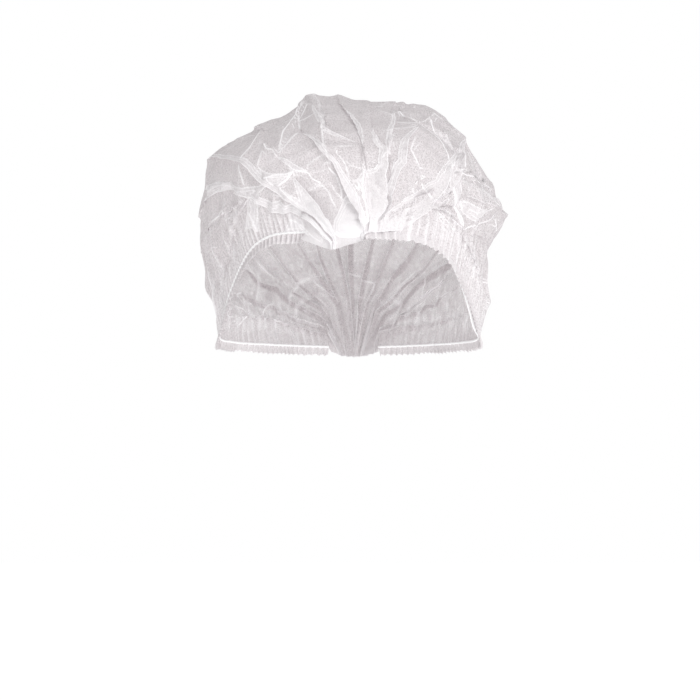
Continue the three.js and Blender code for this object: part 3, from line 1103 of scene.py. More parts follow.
    def _kept_apart(self, routes: Array, laps: Array) -> Array:
        """The routes with each pleat moved right until it starts least_gap past the end of the one before it.

        A pleat that laps to the right starts at its ridge and ends at its valley, one that laps to the left
        the other way round, so a pleat can lie hidden under its neighbour's lap.
        """
        routes = np.maximum(routes, self.first_ridge)
        end = np.zeros(len(routes))
        for k, pleat in enumerate(PLEATS):
            _, _, size = self.form.frame(routes[:, k], self.along)
            back = laps[:, k] / size
            start = routes[:, k] + (back if pleat.lean < 0 else 0)
            routes[:, k] += np.maximum(end + self.least_gap - start, 0)
            spare = (len(PLEATS) - k) * self.least_gap
            routes[:, k] = np.minimum(routes[:, k], 1 - spare)
            end = routes[:, k] - (back if pleat.lean > 0 else 0)
        return routes

    def _knots(self) -> tuple[Array, Array]:
        """The ridges and valleys in their order, with both edges: places across and heights for every row."""
        rows = self.along
        room = lerp(1.0, self.seal_room, smooth_step(*self.pleats_pressed, rows))
        front = smooth_step(*self.front_valleys, rows)
        places = [np.zeros_like(rows)]
        heights = [np.zeros_like(rows)]
        for k, pleat in enumerate(PLEATS):
            ridge, lap = self.ridges[:, k], self.laps[:, k]
            _, _, size = self.form.frame(ridge, rows)
            foot = ridge - pleat.lean * lap * room / size
            foot = np.clip(foot, self.least_edge, 1 - self.least_edge)
            ridge_share = lerp(*self.ridge_shares, smooth_step(*self.ridge_lap_span, lap))
            ridge_height = pleat.height * ridge_share
            open_front = smooth_step(*self.open_lap_span, lap) * front
            valley_share = lerp(*self.valley_shares, smooth_step(*self.valley_lap_span, np.abs(lap)))
            foot_height = -self.valley_depth * valley_share * lerp(1.0, self.front_valley, open_front)
            pair = [(ridge, ridge_height), (foot, foot_height)]
            for place, height in pair[:: pleat.lean]:
                places.append(place)
                heights.append(height)
        places.append(np.ones_like(rows))
        heights.append(np.zeros_like(rows))
        return np.stack(places, axis=-1), np.stack(heights, axis=-1)

    def _knot_points(self) -> Array:
        """The knots' points for every row: on the form, and their height along its normal."""
        along = np.broadcast_to(self.along[:, None], self.knot_place.shape)
        normal, _, _ = self.form.frame(self.knot_place, along)
        return self.form.points(self.knot_place, along) + normal * self.knot_height[..., None]

    def _flat_places(self) -> Array:
        """The knots' places on the flat cloth: the panels' mean widths between the arches, added up."""
        open_rows = (self.along > self.arches[0]) & (self.along < self.arches[1])
        steps = np.diff(self._knot_points()[open_rows], axis=1)
        widths = np.maximum(np.linalg.norm(steps, axis=-1).mean(axis=0), self.least_panel)
        return np.concatenate([[0], np.cumsum(widths)]) / widths.sum()

    def _column_places(self) -> Array:
        """The columns' places on the flat cloth, with every knot one of them, closer beside the knots."""
        widths = np.diff(self.knots)
        counts = np.full(len(widths), self.return_columns)
        lead = widths[::2]
        counts[::2] = np.maximum(np.round(lead / lead.sum() * self.lead_columns), self.least_columns)
        counts[np.argmax(counts)] += (-counts.sum()) % STAGES[0].step
        places = []
        for low, width, count in zip(self.knots[:-1], widths, counts):
            t = np.arange(count) / count
            places.append(low + width * lerp(t, 0.5 - 0.5 * np.cos(np.pi * t), self.columns_at_knots))
        return np.concatenate([*places, [1.0]])

    def pleated(self) -> tuple[Array, Array]:
        """The sheet with its pleats, and the form's normals at its points.

        Between two knots a panel is ruled straight, or follows the form with the knots' heights, and ruled is
        the share of the first.
        """
        knot_points = self._knot_points()
        right = np.clip(np.searchsorted(self.knots, self.flat_at, side="right"), 1, len(self.knots) - 1)
        part = ((self.flat_at - self.knots[right - 1]) / np.diff(self.knots)[right - 1])[None, :]
        straight = lerp(knot_points[:, right - 1], knot_points[:, right], part[..., None])
        across = lerp(self.knot_place[:, right - 1], self.knot_place[:, right], part)
        height = lerp(self.knot_height[:, right - 1], self.knot_height[:, right], part)
        along = np.broadcast_to(self.along[:, None], across.shape)
        normal, _, _ = self.form.frame(across, along)
        followed = self.form.points(across, along) + normal * height[..., None]
        return lerp(followed, straight, self.ruled), normal

    def rim_fade(self, span: Span) -> Array:
        """0 by the elastics and 1 from the span's end on, by the distance on the flat cloth."""
        inner = np.minimum(self.flat_at, 1 - self.flat_at) * self.flat_width
        return np.broadcast_to(smooth_step(*span, inner), (len(self.along), len(self.flat_at)))

    def flat(self) -> Array:
        """The places on the flat cloth in metres."""
        v = np.concatenate([[0], np.cumsum(np.diff(self.along))]) / np.ptp(self.along) * self.flat_length
        u = self.flat_at * self.flat_width
        return np.stack(np.broadcast_arrays(u[None, :], v[:, None]), axis=-1) * METRES


@dataclass
class Crumpling:
    """What handling did to the pleated cloth: creases across the pleats, tucks, and facets between them."""

    pleating: Pleating
    view: FrontView
    tucks_end: float = 0.46
    crease_cell: float = 11.0
    crease_ends: float = 0.1
    crease_mean: float = 0.95
    crease_sway: float = 0.4
    least_crease: float = 0.65
    flat_crease: float = 0.4
    crease_gain: float = 0.45
    creases_end: Span = (0.48, 0.45)
    facet_length: float = 0.62
    facet_sway: float = 0.25
    facet_patch_span: Span = (-0.3, 0.25)
    facet_edge_span: Span = (-0.45, 0.6)
    facets_clearer: Span = (0.25, 0.5)
    behind_clearer: float = 1.6

    def crossed(self, points: Array, marks: Marks) -> Array:
        """The creases across the pleats, drawn on the marks: how far each point moves out."""
        x, z = self.view.on_plane(points)
        front = smooth_step(*self.creases_end, self.pleating.along)[:, None]
        lively = self.crease_sway * drawn_noise(Draw.CREASE, points, self.crease_cell)
        lively = np.clip(self.crease_mean + lively, self.least_crease, 1)
        lift = np.zeros(x.shape)
        for crease in CREASES:
            distance, run = Route(crease.line).distance(x, z)
            ends = smooth_step(0, self.crease_ends, run) * smooth_step(1, 1 - self.crease_ends, run) * front
            roof = np.clip(1 - np.abs(distance) / crease.width, 0, 1)
            lift = np.maximum(lift, crease.height * roof * ends)
            strength = min(self.flat_crease + self.crease_gain * crease.height, 1)
            marks.add(evened(distance, points), ends * lively * strength)
        return lift

    def tucked(self, points: Array) -> Array:
        """How far inside the nearest tuck each point is."""
        x, z = self.view.on_plane(points)
        inside = np.full(x.shape, -LINE_REACH)
        for tuck in TUCKS:
            inside = np.maximum(inside, Route((*tuck.outline, tuck.outline[0])).inside(x, z))
        return np.where(self.pleating.along[:, None] < self.tucks_end, inside, -LINE_REACH)

    def crumpled(self, points: Array, marks: Marks, fade: Array) -> Array:
        """The facets of handled cloth, long along the strip and drawn on the marks: how far each point sinks.

        Facets fill some patches of the cloth. Their centres are swayed by noise, and their borders show
        unevenly.
        """
        flat = self.pleating.flat() / METRES
        sink = np.zeros(points.shape[:-1])
        behind = smooth_step(*self.facets_clearer, self.pleating.along)[:, None]
        clearer = lerp(1.0, self.behind_clearer, behind)
        for k, row in enumerate(CRUMPLES):
            cell = row.cell
            sway = [drawn_noise(Draw.FACET_SWAY, points, 2.2 * cell, 2 * k + axis) for axis in (0, 1)]
            place = (flat + self.facet_sway * cell * np.stack(sway, axis=-1)) * (1, self.facet_length)
            centre, border = Facets(Draw.FACET.value + k, cell).at(place)
            patch = drawn_noise(Draw.FACET_PATCH, points, 1.6 * cell, k)
            patch = smooth_step(*self.facet_patch_span, patch) * fade
            lively = drawn_noise(Draw.FACET_EDGE, points, 0.6 * cell, k)
            lively = smooth_step(*self.facet_edge_span, lively)
            rise = np.clip((centre / (self.facet_length * cell)) ** 2, 0, 1)
            sink += np.abs(row.height) * (1 - rise if row.height > 0 else rise) * patch
            marks.add(evened(border, points), np.minimum(patch * lively * row.show * clearer, 1))
        return sink


@dataclass
class Gathers:
    """The gathers by the elastics and the seals. Their depths are distances from the nearer elastic."""

    pleating: Pleating
    ruffle: Ruffle
    ruffle_depths: Span = (6, 14)
    # Crest whiteness of the ruffles and wrinkles: partly the folded cloth, partly a painted highlight.
    ruffle_crest: float = 0.17
    ruffle_white: float = 0.7
    white_depths: Span = (7, 20)
    wrinkle_start: float = 0.35
    wrinkles_start: Span = (0.12, 0.34)
    wrinkle_full: Span = (0.3, 0.55)
    wrinkle_cells: Span = (9.0, 8.0)
    wrinkle_shift: float = 0.5
    wrinkle_patches: float = 0.7
    wrinkle_crest: float = 0.7
    wrinkle_white: float = 0.9
    forehead_depth: float = 28.0
    band_columns: Span = (0.6, 0.8)
    front_opens: Span = (-0.02, 0.03)
    nape_shuts: Span = (0.96, 1.02)
    fan_waves: int = 27
    fan_height: float = 0.5
    fan_wander: float = 0.8
    fan_seed: int = 5
    fan_draws: int = 15
    fan_front: Span = (0.11, -0.03)
    fan_nape: Span = (0.88, 1.02)
    fan_depths: Span = (2, 20)
    arch_gathering: float = 0.75
    rim_gathering: float = 0.7
    rim_gathering_depth: float = 12.0
    band_gathering: float = 0.2

    def ruffled(self, points: Array) -> tuple[Array, Array]:
        """The gathers by the elastics: waves along the thread, whose pitch grows step by step away from it.

        Returns:
            How far they move each point out, and how near each point is to a crest, from 0 to 1, as a
            whiteness that is partly the folded cloth and partly a painted highlight.
        """
        along = self.pleating.along
        thread, side = self._thread_length(points)
        phase = self.ruffle.phase(thread, side)
        depth = self._depth(points)
        total = self.ruffle.height * np.cos(2 * np.pi * phase) * (1 - smooth_step(*self.ruffle_depths, depth))
        off_crest = (phase - np.round(phase)) / self.ruffle_crest
        # Crest whiteness: partly the denser folded cloth, partly a painted highlight on the crests.
        crest = np.exp(-(off_crest**2)) * (1 - smooth_step(*self.white_depths, depth)) * self.ruffle_white
        open_ends = smooth_step(*self.front_opens, along) * (1 - smooth_step(*self.nape_shuts, along))
        forehead = self._forehead_band(depth)
        broad, broad_crest = self.ruffle.broad(phase)
        total = lerp(total, broad, forehead)
        crest = np.maximum(crest, broad_crest * forehead)
        growing = lerp(self.wrinkle_start, 1.0, smooth_step(*self.wrinkles_start, along))[:, None]
        for k, row in enumerate(WRINKLES):
            shift_cell, patch_cell = (cell * row.times for cell in self.wrinkle_cells)
            shift = self.wrinkle_shift * drawn_noise(Draw.WRINKLE_SHIFT, points, shift_cell, k)
            patch = drawn_noise(Draw.WRINKLE_PATCH, points, patch_cell, k)
            patch = np.clip(self.wrinkle_patches * (1 + patch), 0, 1)
            full_from, full_to = (lerp(row.near, row.far, part) for part in self.wrinkle_full)
            band = smooth_step(row.near, full_from, depth) * (1 - smooth_step(full_to, row.far, depth))
            band = band * growing
            turn = phase / row.times + shift
            total = total + row.height * triangle_wave(turn) * patch * band
            off = np.abs(turn - np.round(turn)) * row.times * self.ruffle.pitch
            own_crest = np.exp(-((off / self.wrinkle_crest) ** 2))
            crest = np.maximum(crest, own_crest * patch * band * self.wrinkle_white)
        return total * open_ends[:, None], crest * open_ends[:, None]

    def fanned(self) -> Array:
        """The small pleats of both gathers: waves across the cloth that fade out a little over the arches."""
        rows = self.pleating.along
        ends = np.maximum(smooth_step(*self.fan_front, rows), smooth_step(*self.fan_nape, rows))[:, None]
        uneven = np.random.default_rng(self.fan_seed).uniform(-1, 1, self.fan_draws)
        wander = self.fan_wander * np.interp(self.pleating.flat_at, np.linspace(0, 1, len(uneven)), uneven)
        wave = triangle_wave(self.pleating.flat_at * self.fan_waves + wander)[None, :]
        return self.fan_height * wave * ends * self.pleating.rim_fade(self.fan_depths)

    def layers(self, points: Array) -> Array:
        """How many times the flat cloth is gathered into each arch: by the length of the row, and more by the
        elastics and the seals."""
        length = np.linalg.norm(np.diff(points, axis=1), axis=-1).sum(axis=1)
        across = np.clip(self.arch_gathering * length.max() / length, 1, 4)
        depth = self._depth(points)
        rim = self.rim_gathering * np.exp(-((depth / self.rim_gathering_depth) ** 2))
        return across[:, None] + rim + self.band_gathering * self._forehead_band(depth)

    def _forehead_band(self, depth: Array) -> Array:
        """1 on the band right of the weld, where the cloth stands in upright pleats down to its edge, and 0
        elsewhere, for the points' distances from the nearer elastic."""
        right = smooth_step(*self.band_columns, self.pleating.flat_at)[None, :]
        rows = self.ruffle.broad_rows(self.pleating.along)[:, None]
        return right * rows * smooth_step(self.forehead_depth, 0.6 * self.forehead_depth, depth)

    def _thread_length(self, points: Array) -> tuple[Array, Array]:
        """For every point: the length along the nearer elastic, and which side that is."""
        length = run_length(points, 0)
        side = np.broadcast_to((self.pleating.flat_at > 0.5).astype(float), length.shape)
        return np.where(side > 0.5, length[:, -1:], length[:, :1]), side

    def _depth(self, points: Array) -> Array:
        """Each point's distance from the nearer elastic, to the same row's edge."""
        left, right = (np.linalg.norm(points - edge, axis=-1) for edge in (points[:, :1], points[:, -1:]))
        return np.minimum(left, right)


@dataclass
class Fabric:
    """The whole cloth, from seal to seal and from elastic to elastic, as one grid."""

    pleating: Pleating
    crumpling: Crumpling
    gathers: Gathers
    tuck_height: float = 0.6
    tuck_span: Span = (-0.2, 1.2)
    pressed_crumple: float = 0.15
    crumple_depths: Span = (0, 24)
    front_pressed: Span = (-0.06, 0.06)
    nape_pressed: Span = (0.95, 1.04)
    spare: float = 0.02
    spare_along: float = 0.3
    pressed_freedom: float = 0.2
    reach: Span = (0.2, 1.6)
    rough_cell: float = 5.5
    buckle_depths: Span = (0, 26)
    turn_span: Span = (0.7, 1.8)
    # Whiteness at sharp bends and on steep panels: partly their denser layers, partly painted highlight.
    bent_white: float = 0.6
    flatness_span: Span = (0.85, 0.35)
    steep_white: float = 0.55
    steep_ends: Span = (0.55, 0.45)
    shown_valley: float = 0.15
    ridge_behind: float = 0.9
    ridges_show_behind: Span = (0.4, 0.55)
    shown_lap_span: Span = (0.55, 1.2)
    hidden_lap_span: Span = (1.5, 0.5)

    def build(self) -> Sheet:
        """Pleats, crumples and relaxes the cloth, from a coarse grid to the full one.

        Returns:
            The sheet, with the numbers of its finish: line and line_show, the signed distance from the
            nearest crease line and how clear it is, ridge, the distance from the nearest ridge or valley,
            lap, how far inside a lapped zone a point is, crease, how white the cloth is drawn at sharp bends,
            steep panels and ruffle crests, partly for its denser layers and partly as painted highlight, and
            layers, how many are gathered.
        """
        pleated, normal = self.pleating.pleated()
        loose = smooth_step(*self.front_pressed, self.pleating.along)
        loose = loose * (1 - smooth_step(*self.nape_pressed, self.pleating.along))
        fade = self.pleating.rim_fade(self.crumple_depths) * lerp(self.pressed_crumple, 1, loose[:, None])
        marks = Marks(pleated.shape[:2])
        crossing = self.crumpling.crossed(pleated, marks) * fade
        sink = self.crumpling.crumpled(pleated, marks, fade) * fade
        ruffle, crest = self.gathers.ruffled(pleated)
        tucked = self.crumpling.tucked(pleated)
        lift = crossing - sink + ruffle + self.gathers.fanned()
        lift = lift + self.tuck_height * smooth_step(*self.tuck_span, tucked)
        points = self._relaxed(pleated + normal * lift[..., None], normal, loose)
        LOG.info("cloth relaxed: %d by %d", *points.shape[:2])
        lap, ridge_line = self._lapped(points)
        values = {
            "line": marks.line,
            "line_show": marks.show,
            "ridge": ridge_line,
            "lap": np.maximum(lap, tucked),
            # crease: whiteness at ruffle crests, sharp bends and steep panels, partly denser cloth and partly
            # painted highlight.
            "crease": np.maximum(crest, np.maximum(self._bent(points), self._steep(points, normal))),
            "layers": self.gathers.layers(points),
        }
        folds = np.searchsorted(self.pleating.flat_at, self.pleating.knots[1:-1] - TINY)
        return Sheet(points, self.pleating.flat(), values, folds)

    def _relaxed(self, target: Array, normal: Array, loose: Array) -> Array:
        """Lets the cloth buckle round the pleated target, stage by stage.

        Args:
            target: The pleated points.
            normal: The form's normals there.
            loose: For each row, 1 where the cloth is free and 0 where it is pressed.

        Returns:
            The points.
        """
        offset = None
        for stage in STAGES:
            part = np.s_[:: stage.step, :: stage.step]
            goal = target[part]
            free = lerp(self.pressed_freedom, 1, loose[:: stage.step, None])
            free = self.pleating.rim_fade(self.buckle_depths)[part] * free
            noise = drawn_noise(Draw.BUCKLE, goal, self.rough_cell * stage.step, stage.step)
            start = goal + normal[part] * (stage.rough * noise * free)[..., None]
            if offset is not None:
                start = start + resample(offset, *goal.shape[:2])
            held = np.zeros(goal.shape[:2])
            held[0] = held[-1] = 1
            held[:, 0] = held[:, -1] = 1
            spare = self.spare * free
            least, more = self.reach
            cloth = Buckling(goal, spare, self.spare_along * spare, least + more * free, held, stage.bend)
            offset = cloth.relax(start, stage.rounds) - goal
        return target + offset

    def _bent(self, points: Array) -> Array:
        """How sharply the cloth is bent along the strip at each point, by the turn of neighbouring edges."""
        edge = unit(np.diff(points, axis=0))
        turn = np.zeros(points.shape[:2])
        turn[1:-1] = np.arccos(np.clip((edge[:-1] * edge[1:]).sum(-1), -1, 1))
        # Whiter where sharply bent: partly the folded cloth's denser layers, partly a painted highlight on
        # the fold.
        return smooth_step(*self.turn_span, turn) * self.bent_white

    def _steep(self, points: Array, normal: Array) -> Array:
        """How steeply the cloth stands on the form, whose normals are given, drawn as whiteness: its layers
        lie close there, and the white is partly a painted highlight that lifts the shade of steep panels.
        """
        own = unit(np.cross(np.gradient(points, axis=1), np.gradient(points, axis=0)))
        flatness = np.abs((own * normal).sum(-1))
        front = smooth_step(*self.steep_ends, self.pleating.along)[:, None]
        return self.steep_white * smooth_step(*self.flatness_span, flatness) * front

    def _lapped(self, points: Array) -> tuple[Array, Array]:
        """How far inside a lapped zone each point is, and how far from the nearest visible ridge or valley.

        A pleat covers the cloth from its ridge back as far as it laps, on both of its panels. Distances are
        along the row. A ridge shows where it laps, and faintly over the top and the back.
        """
        wide = run_length(points, 1)
        inside = np.full(wide.shape, -LINE_REACH)
        line = np.full(wide.shape, LINE_REACH)
        behind = self.ridge_behind * smooth_step(*self.ridges_show_behind, self.pleating.along)
        columns = np.searchsorted(self.pleating.flat_at, self.pleating.knots - TINY)
        for k, pleat in enumerate(PLEATS):
            pair = columns[2 * k + 1 : 2 * k + 3][:: pleat.lean]
            lap = self.pleating.laps[:, k : k + 1]
            hidden = 2 * (1 - np.maximum(smooth_step(*self.shown_lap_span, lap), behind[:, None]))
            away = np.abs(wide - wide[:, pair[:1]])
            inside = np.maximum(inside, lap - away - 3 * smooth_step(*self.hidden_lap_span, lap))
            line = np.minimum(line, away + hidden)
            line = np.minimum(line, np.abs(wide - wide[:, pair[1:]]) + self.shown_valley + hidden)
        return inside, line


@dataclass
class Rim:
    """One side's elastic thread and the ruffled hem below it."""

    side: Side
    form: CapForm
    ruffle: Ruffle
    fabric_rows: Array
    hem_width: float = 6.0
    hem_flare: float = 1.2
    short_hem: float = 0.7
    full_hem: Span = (0.1, 0.3)
    hem_columns: int = 9
    hem_steps: int = 1100
    hem_seed: int = 77
    hem_cell: float = 5.0
    edge_growth: float = 1.7
    edge_sway: float = 0.6
    second_wave: float = 0.35
    second_turn: float = 1.3
    curl: float = 0.45
    broad_growth: float = 0.3
    mean_reach: float = 0.9
    tooth: float = 0.1
    tooth_turn: float = 0.6
    # Whiteness of the hem's wave crests and edge, and its layers: partly the gathered cloth, partly painted
    # highlight lifting the shade of its ruffles.
    wave_white: float = 0.5
    edge_white: float = 0.4
    layers: float = 2.2
    band_layers: float = 0.8
    thread_radius: float = 0.7
    thread_steps: int = 620
    thread_sides: int = 10
    thread_seed: int = 91
    flute: float = 0.1
    twist_pitch: float = 5.0
    wobble: float = 0.12
    wobble_cell: float = 7.0
    under_band: float = 2.2
    under_ends: Span = (0.52, 0.42)
    depth_to_width: float = 1.15
    step: float = 0.01

    def _route(self, along: Array) -> Array:
        """The thread's route on the edge of the form."""
        return self.form.points(np.full_like(along, float(self.side.value)), along)

    def _thread_length(self, along: Array) -> Array:
        """The length along the thread, counted as the fabric counts it."""
        return np.interp(along, self.fabric_rows, run_length(self._route(self.fabric_rows), 0))

    def _directions(self, along: Array) -> tuple[Array, Array]:
        """The directions out of the cap and down from the thread: out is level, from the cap's upright axis,
        and down is square to it and to the thread."""
        here = self._route(along)
        tangent = unit(self._route(along + self.step) - self._route(along - self.step))
        out = unit(np.stack([here[:, 0], here[:, 1] / self.depth_to_width**2, np.zeros(len(along))], axis=-1))
        down = unit(np.cross(out, tangent))
        return out, down * np.where(down[:, 2:] > 0, -1, 1)

    def hem(self) -> Sheet:
        """The hem: from the thread down, a band whose waves grow towards a frayed, saw-tooth edge."""
        along = np.linspace(0, 1, self.hem_steps)
        part = np.linspace(0, 1, self.hem_columns)[None, :]
        route = self._route(along)
        out, down = self._directions(along)
        thread = self._thread_length(along)
        phase = self.ruffle.phase(thread, np.full_like(thread, float(self.side.value)))
        tangent = unit(np.gradient(route, axis=0))
        turn = 2 * np.pi * phase[:, None]
        noise = SpaceNoise(self.hem_seed + self.side.value, self.hem_cell).at(route)[:, None]
        height = self.ruffle.height * lerp(1.0, self.edge_growth + self.edge_sway * noise, part)
        second = self.second_wave * height * part * np.cos(2 * turn + self.second_turn)
        wave = height * np.cos(turn) + second
        curl = -self.curl * height * np.sin(2 * turn) * part
        broad, broad_crest = self.ruffle.broad(phase[:, None])
        band = (self.ruffle.broad_rows(along) if self.side is Side.RIGHT else 0 * along)[:, None]
        wave = lerp(wave, broad * (1 + self.broad_growth * part), band)
        curl = curl * (1 - band)
        short = self.short_hem if self.side is Side.RIGHT else 1.0
        width = self.hem_width * lerp(short, 1.0, smooth_step(*self.full_hem, along))[:, None]
        teeth = self.tooth * np.cos(turn + self.tooth_turn) + self.tooth * noise
        reach = width * (self.mean_reach + teeth)
        points = (
            route[:, None]
            + down[:, None] * (reach * part)[..., None]
            + out[:, None] * (wave + self.hem_flare * part)[..., None]
            + tangent[:, None] * curl[..., None]
        )
        flat = np.broadcast_arrays(2 * thread[:, None], self.hem_width * part)
        crest = lerp(self.wave_white * (0.5 + 0.5 * np.cos(turn)) ** 4, broad_crest, band)
        none = np.zeros(wave.shape)
        values = {
            "line": none + LINE_REACH,
            "line_show": none,
            "ridge": none + LINE_REACH,
            "lap": none - LINE_REACH,
            # crease and layers: whiter crests and edge and a high layer count, partly the gathered cloth and
            # partly painted light lifting the ruffles' shade.
            "crease": none + crest + self.edge_white * part**12,
            "layers": none + self.layers + self.band_layers * band,
        }
        sheet = Sheet(points, np.stack(flat, axis=-1) * METRES, values)
        return sheet if self.side is Side.RIGHT else sheet.turned()

    def thread(self) -> tuple[Array, Array]:
        """The elastic thread: a round section carried along the route, with the flutes of its winding.

        Returns:
            The points, a ring for each step, and their places along and round the thread in metres.
        """
        along = np.linspace(0, 1, self.thread_steps)
        route = self._route(along)
        length = self._thread_length(along)
        tangent = unit(np.gradient(route, axis=0))
        out, down = self._directions(along)
        up = unit(np.cross(tangent, out))
        out = unit(np.cross(up, tangent))
        turn = 2 * np.pi * np.arange(self.thread_sides) / self.thread_sides
        twist = 2 * np.pi * length / self.twist_pitch
        radius = self.thread_radius * (1 + self.flute * np.cos(2 * (turn[None, :] - twist[:, None])))
        ring = out[:, None] * np.cos(turn)[None, :, None] + up[:, None] * np.sin(turn)[None, :, None]
        noise = SpaceNoise(self.thread_seed + self.side.value, self.wobble_cell).at(route)
        wobble = self.wobble * noise[:, None, None] * up[:, None]
        under = np.zeros(len(along))
        if self.side is Side.RIGHT:
            under = self.under_band * smooth_step(*self.under_ends, along)
        inside = out[:, None] * under[:, None, None]
        points = route[:, None] + ring * radius[..., None] + wobble - inside
        flat = np.stack(np.broadcast_arrays(length[:, None], turn[None, :]), axis=-1) * METRES
        return points, flat


def grid_faces(rows: int, columns: int, closed: bool = False) -> Array:
    """The quads of a grid of points, turned to face out, and joined round its columns where it is closed."""
    index = np.arange(rows * columns).reshape(rows, columns)
    if closed:
        index = np.concatenate([index, index[:, :1]], axis=1)
    return np.stack([index[:-1, :-1], index[:-1, 1:], index[1:, 1:], index[1:, :-1]], axis=-1).reshape(-1, 4)


def new_object(
    name: str, points: Array, faces: Array, flat: Array | None = None, values: dict[str, Array] | None = None
) -> bpy.types.Object:
    """Puts an array of points, in millimetres, and of faces into a new mesh object.

    Args:
        name: The object's name.
        points: Points, one a row.
        faces: Corner numbers, one face a row.
        flat: The place of each point on the flat cloth, in metres.
        values: Numbers for each point, by attribute name.

    Returns:
        The object, linked to the scene.
    """
    mesh = bpy.data.meshes.new(name)
    corners = faces.shape[1]
    mesh.vertices.add(len(points))
    mesh.vertices.foreach_set("co", (points * METRES).astype(np.float32).ravel())
    mesh.loops.add(faces.size)
    mesh.loops.foreach_set("vertex_index", faces.ravel().astype(np.int32))
    mesh.polygons.add(len(faces))
    mesh.polygons.foreach_set("loop_start", np.arange(0, faces.size, corners, dtype=np.int32))
    mesh.polygons.foreach_set("loop_total", np.full(len(faces), corners, dtype=np.int32))
    mesh.update(calc_edges=True)
    mesh.polygons.foreach_set("use_smooth", np.ones(len(faces), bool))
    if flat is not None:
        layer = mesh.uv_layers.new(name="cloth")
        layer.data.foreach_set("uv", flat[faces.ravel()].astype(np.float32).ravel())
    for key, value in (values or {}).items():
        attribute = mesh.attributes.new(key, "FLOAT", "POINT")
        attribute.data.foreach_set("value", value.astype(np.float32).ravel())
    obj = bpy.data.objects.new(name, mesh)
    bpy.context.scene.collection.objects.link(obj)
    return obj


def sheet_object(name: str, sheet: Sheet) -> bpy.types.Object:
    """A piece of cloth from its grid, with the numbers that its finish reads."""
    rows, columns = sheet.points.shape[:2]
    piece = new_object(
        name,
        sheet.points.reshape(-1, 3),
        grid_faces(rows, columns),
        sheet.flat.reshape(-1, 2),
        {key: value.ravel() for key, value in sheet.values.items()},
    )
    ends = np.zeros(2 * len(piece.data.edges), np.int32)
    piece.data.edges.foreach_get("vertices", ends)
    column = ends.reshape(-1, 2) % columns
    sharp = (column[:, 0] == column[:, 1]) & np.isin(column[:, 0], sheet.folds)
    piece.data.attributes.new("sharp_edge", "BOOLEAN", "EDGE").data.foreach_set("value", sharp)
    return piece


class Signal:
    """A number on a node's output. Sums, products and powers of it add Math nodes."""

    def __init__(self, tree: bpy.types.NodeTree, socket: bpy.types.NodeSocket) -> None:
        self.tree = tree
        self.socket = socket

    def _math(self, operation: str, *values: "Signal | float") -> "Signal":
        """A Math node of the operation on the values."""
        node = self.tree.nodes.new("ShaderNodeMath")
        node.operation = operation
        for slot, value in zip(node.inputs, values):
            if isinstance(value, Signal):
                self.tree.links.new(value.socket, slot)
            else:
                slot.default_value = value
        return Signal(self.tree, node.outputs[0])

    def __add__(self, other: "Signal | float") -> "Signal":
        """This plus the other."""
        return self._math("ADD", self, other)

    def __radd__(self, other: float) -> "Signal":
        """The other plus this."""
        return self._math("ADD", other, self)

    def __sub__(self, other: "Signal | float") -> "Signal":
        """This less the other."""
        return self._math("SUBTRACT", self, other)

    def __rsub__(self, other: float) -> "Signal":
        """The other less this."""
        return self._math("SUBTRACT", other, self)

    def __mul__(self, other: "Signal | float") -> "Signal":
        """This times the other."""
        return self._math("MULTIPLY", self, other)

    def __pow__(self, other: "Signal | float") -> "Signal":
        """This to the power of the other."""
        return self._math("POWER", self, other)

    def size(self) -> "Signal":
        """This without its sign."""
        return self._math("ABSOLUTE", self)

    def largest(self, other: "Signal | float") -> "Signal":
        """The larger of this and the other."""
        return self._math("MAXIMUM", self, other)

    def off_steps(self, step: float) -> "Signal":
        """How far this is from the nearest multiple of the step."""
        return self._math("PINGPONG", self, 0.5 * step)

    def limited(self, low: float, high: float) -> "Signal":
        """This, kept between low and high."""
        return self._math("MINIMUM", self.largest(low), high)

    def line(self, width: float, core: float = 1) -> "Signal":
        """A line along the places where this distance is 0.

        Args:
            width: How far from there its strength falls by 1.
            core: Its strength there, before it is limited to 1.

        Returns:
            The line's strength, from 0 to 1.
        """
        return (core - self * (1 / width)).limited(0, 1)


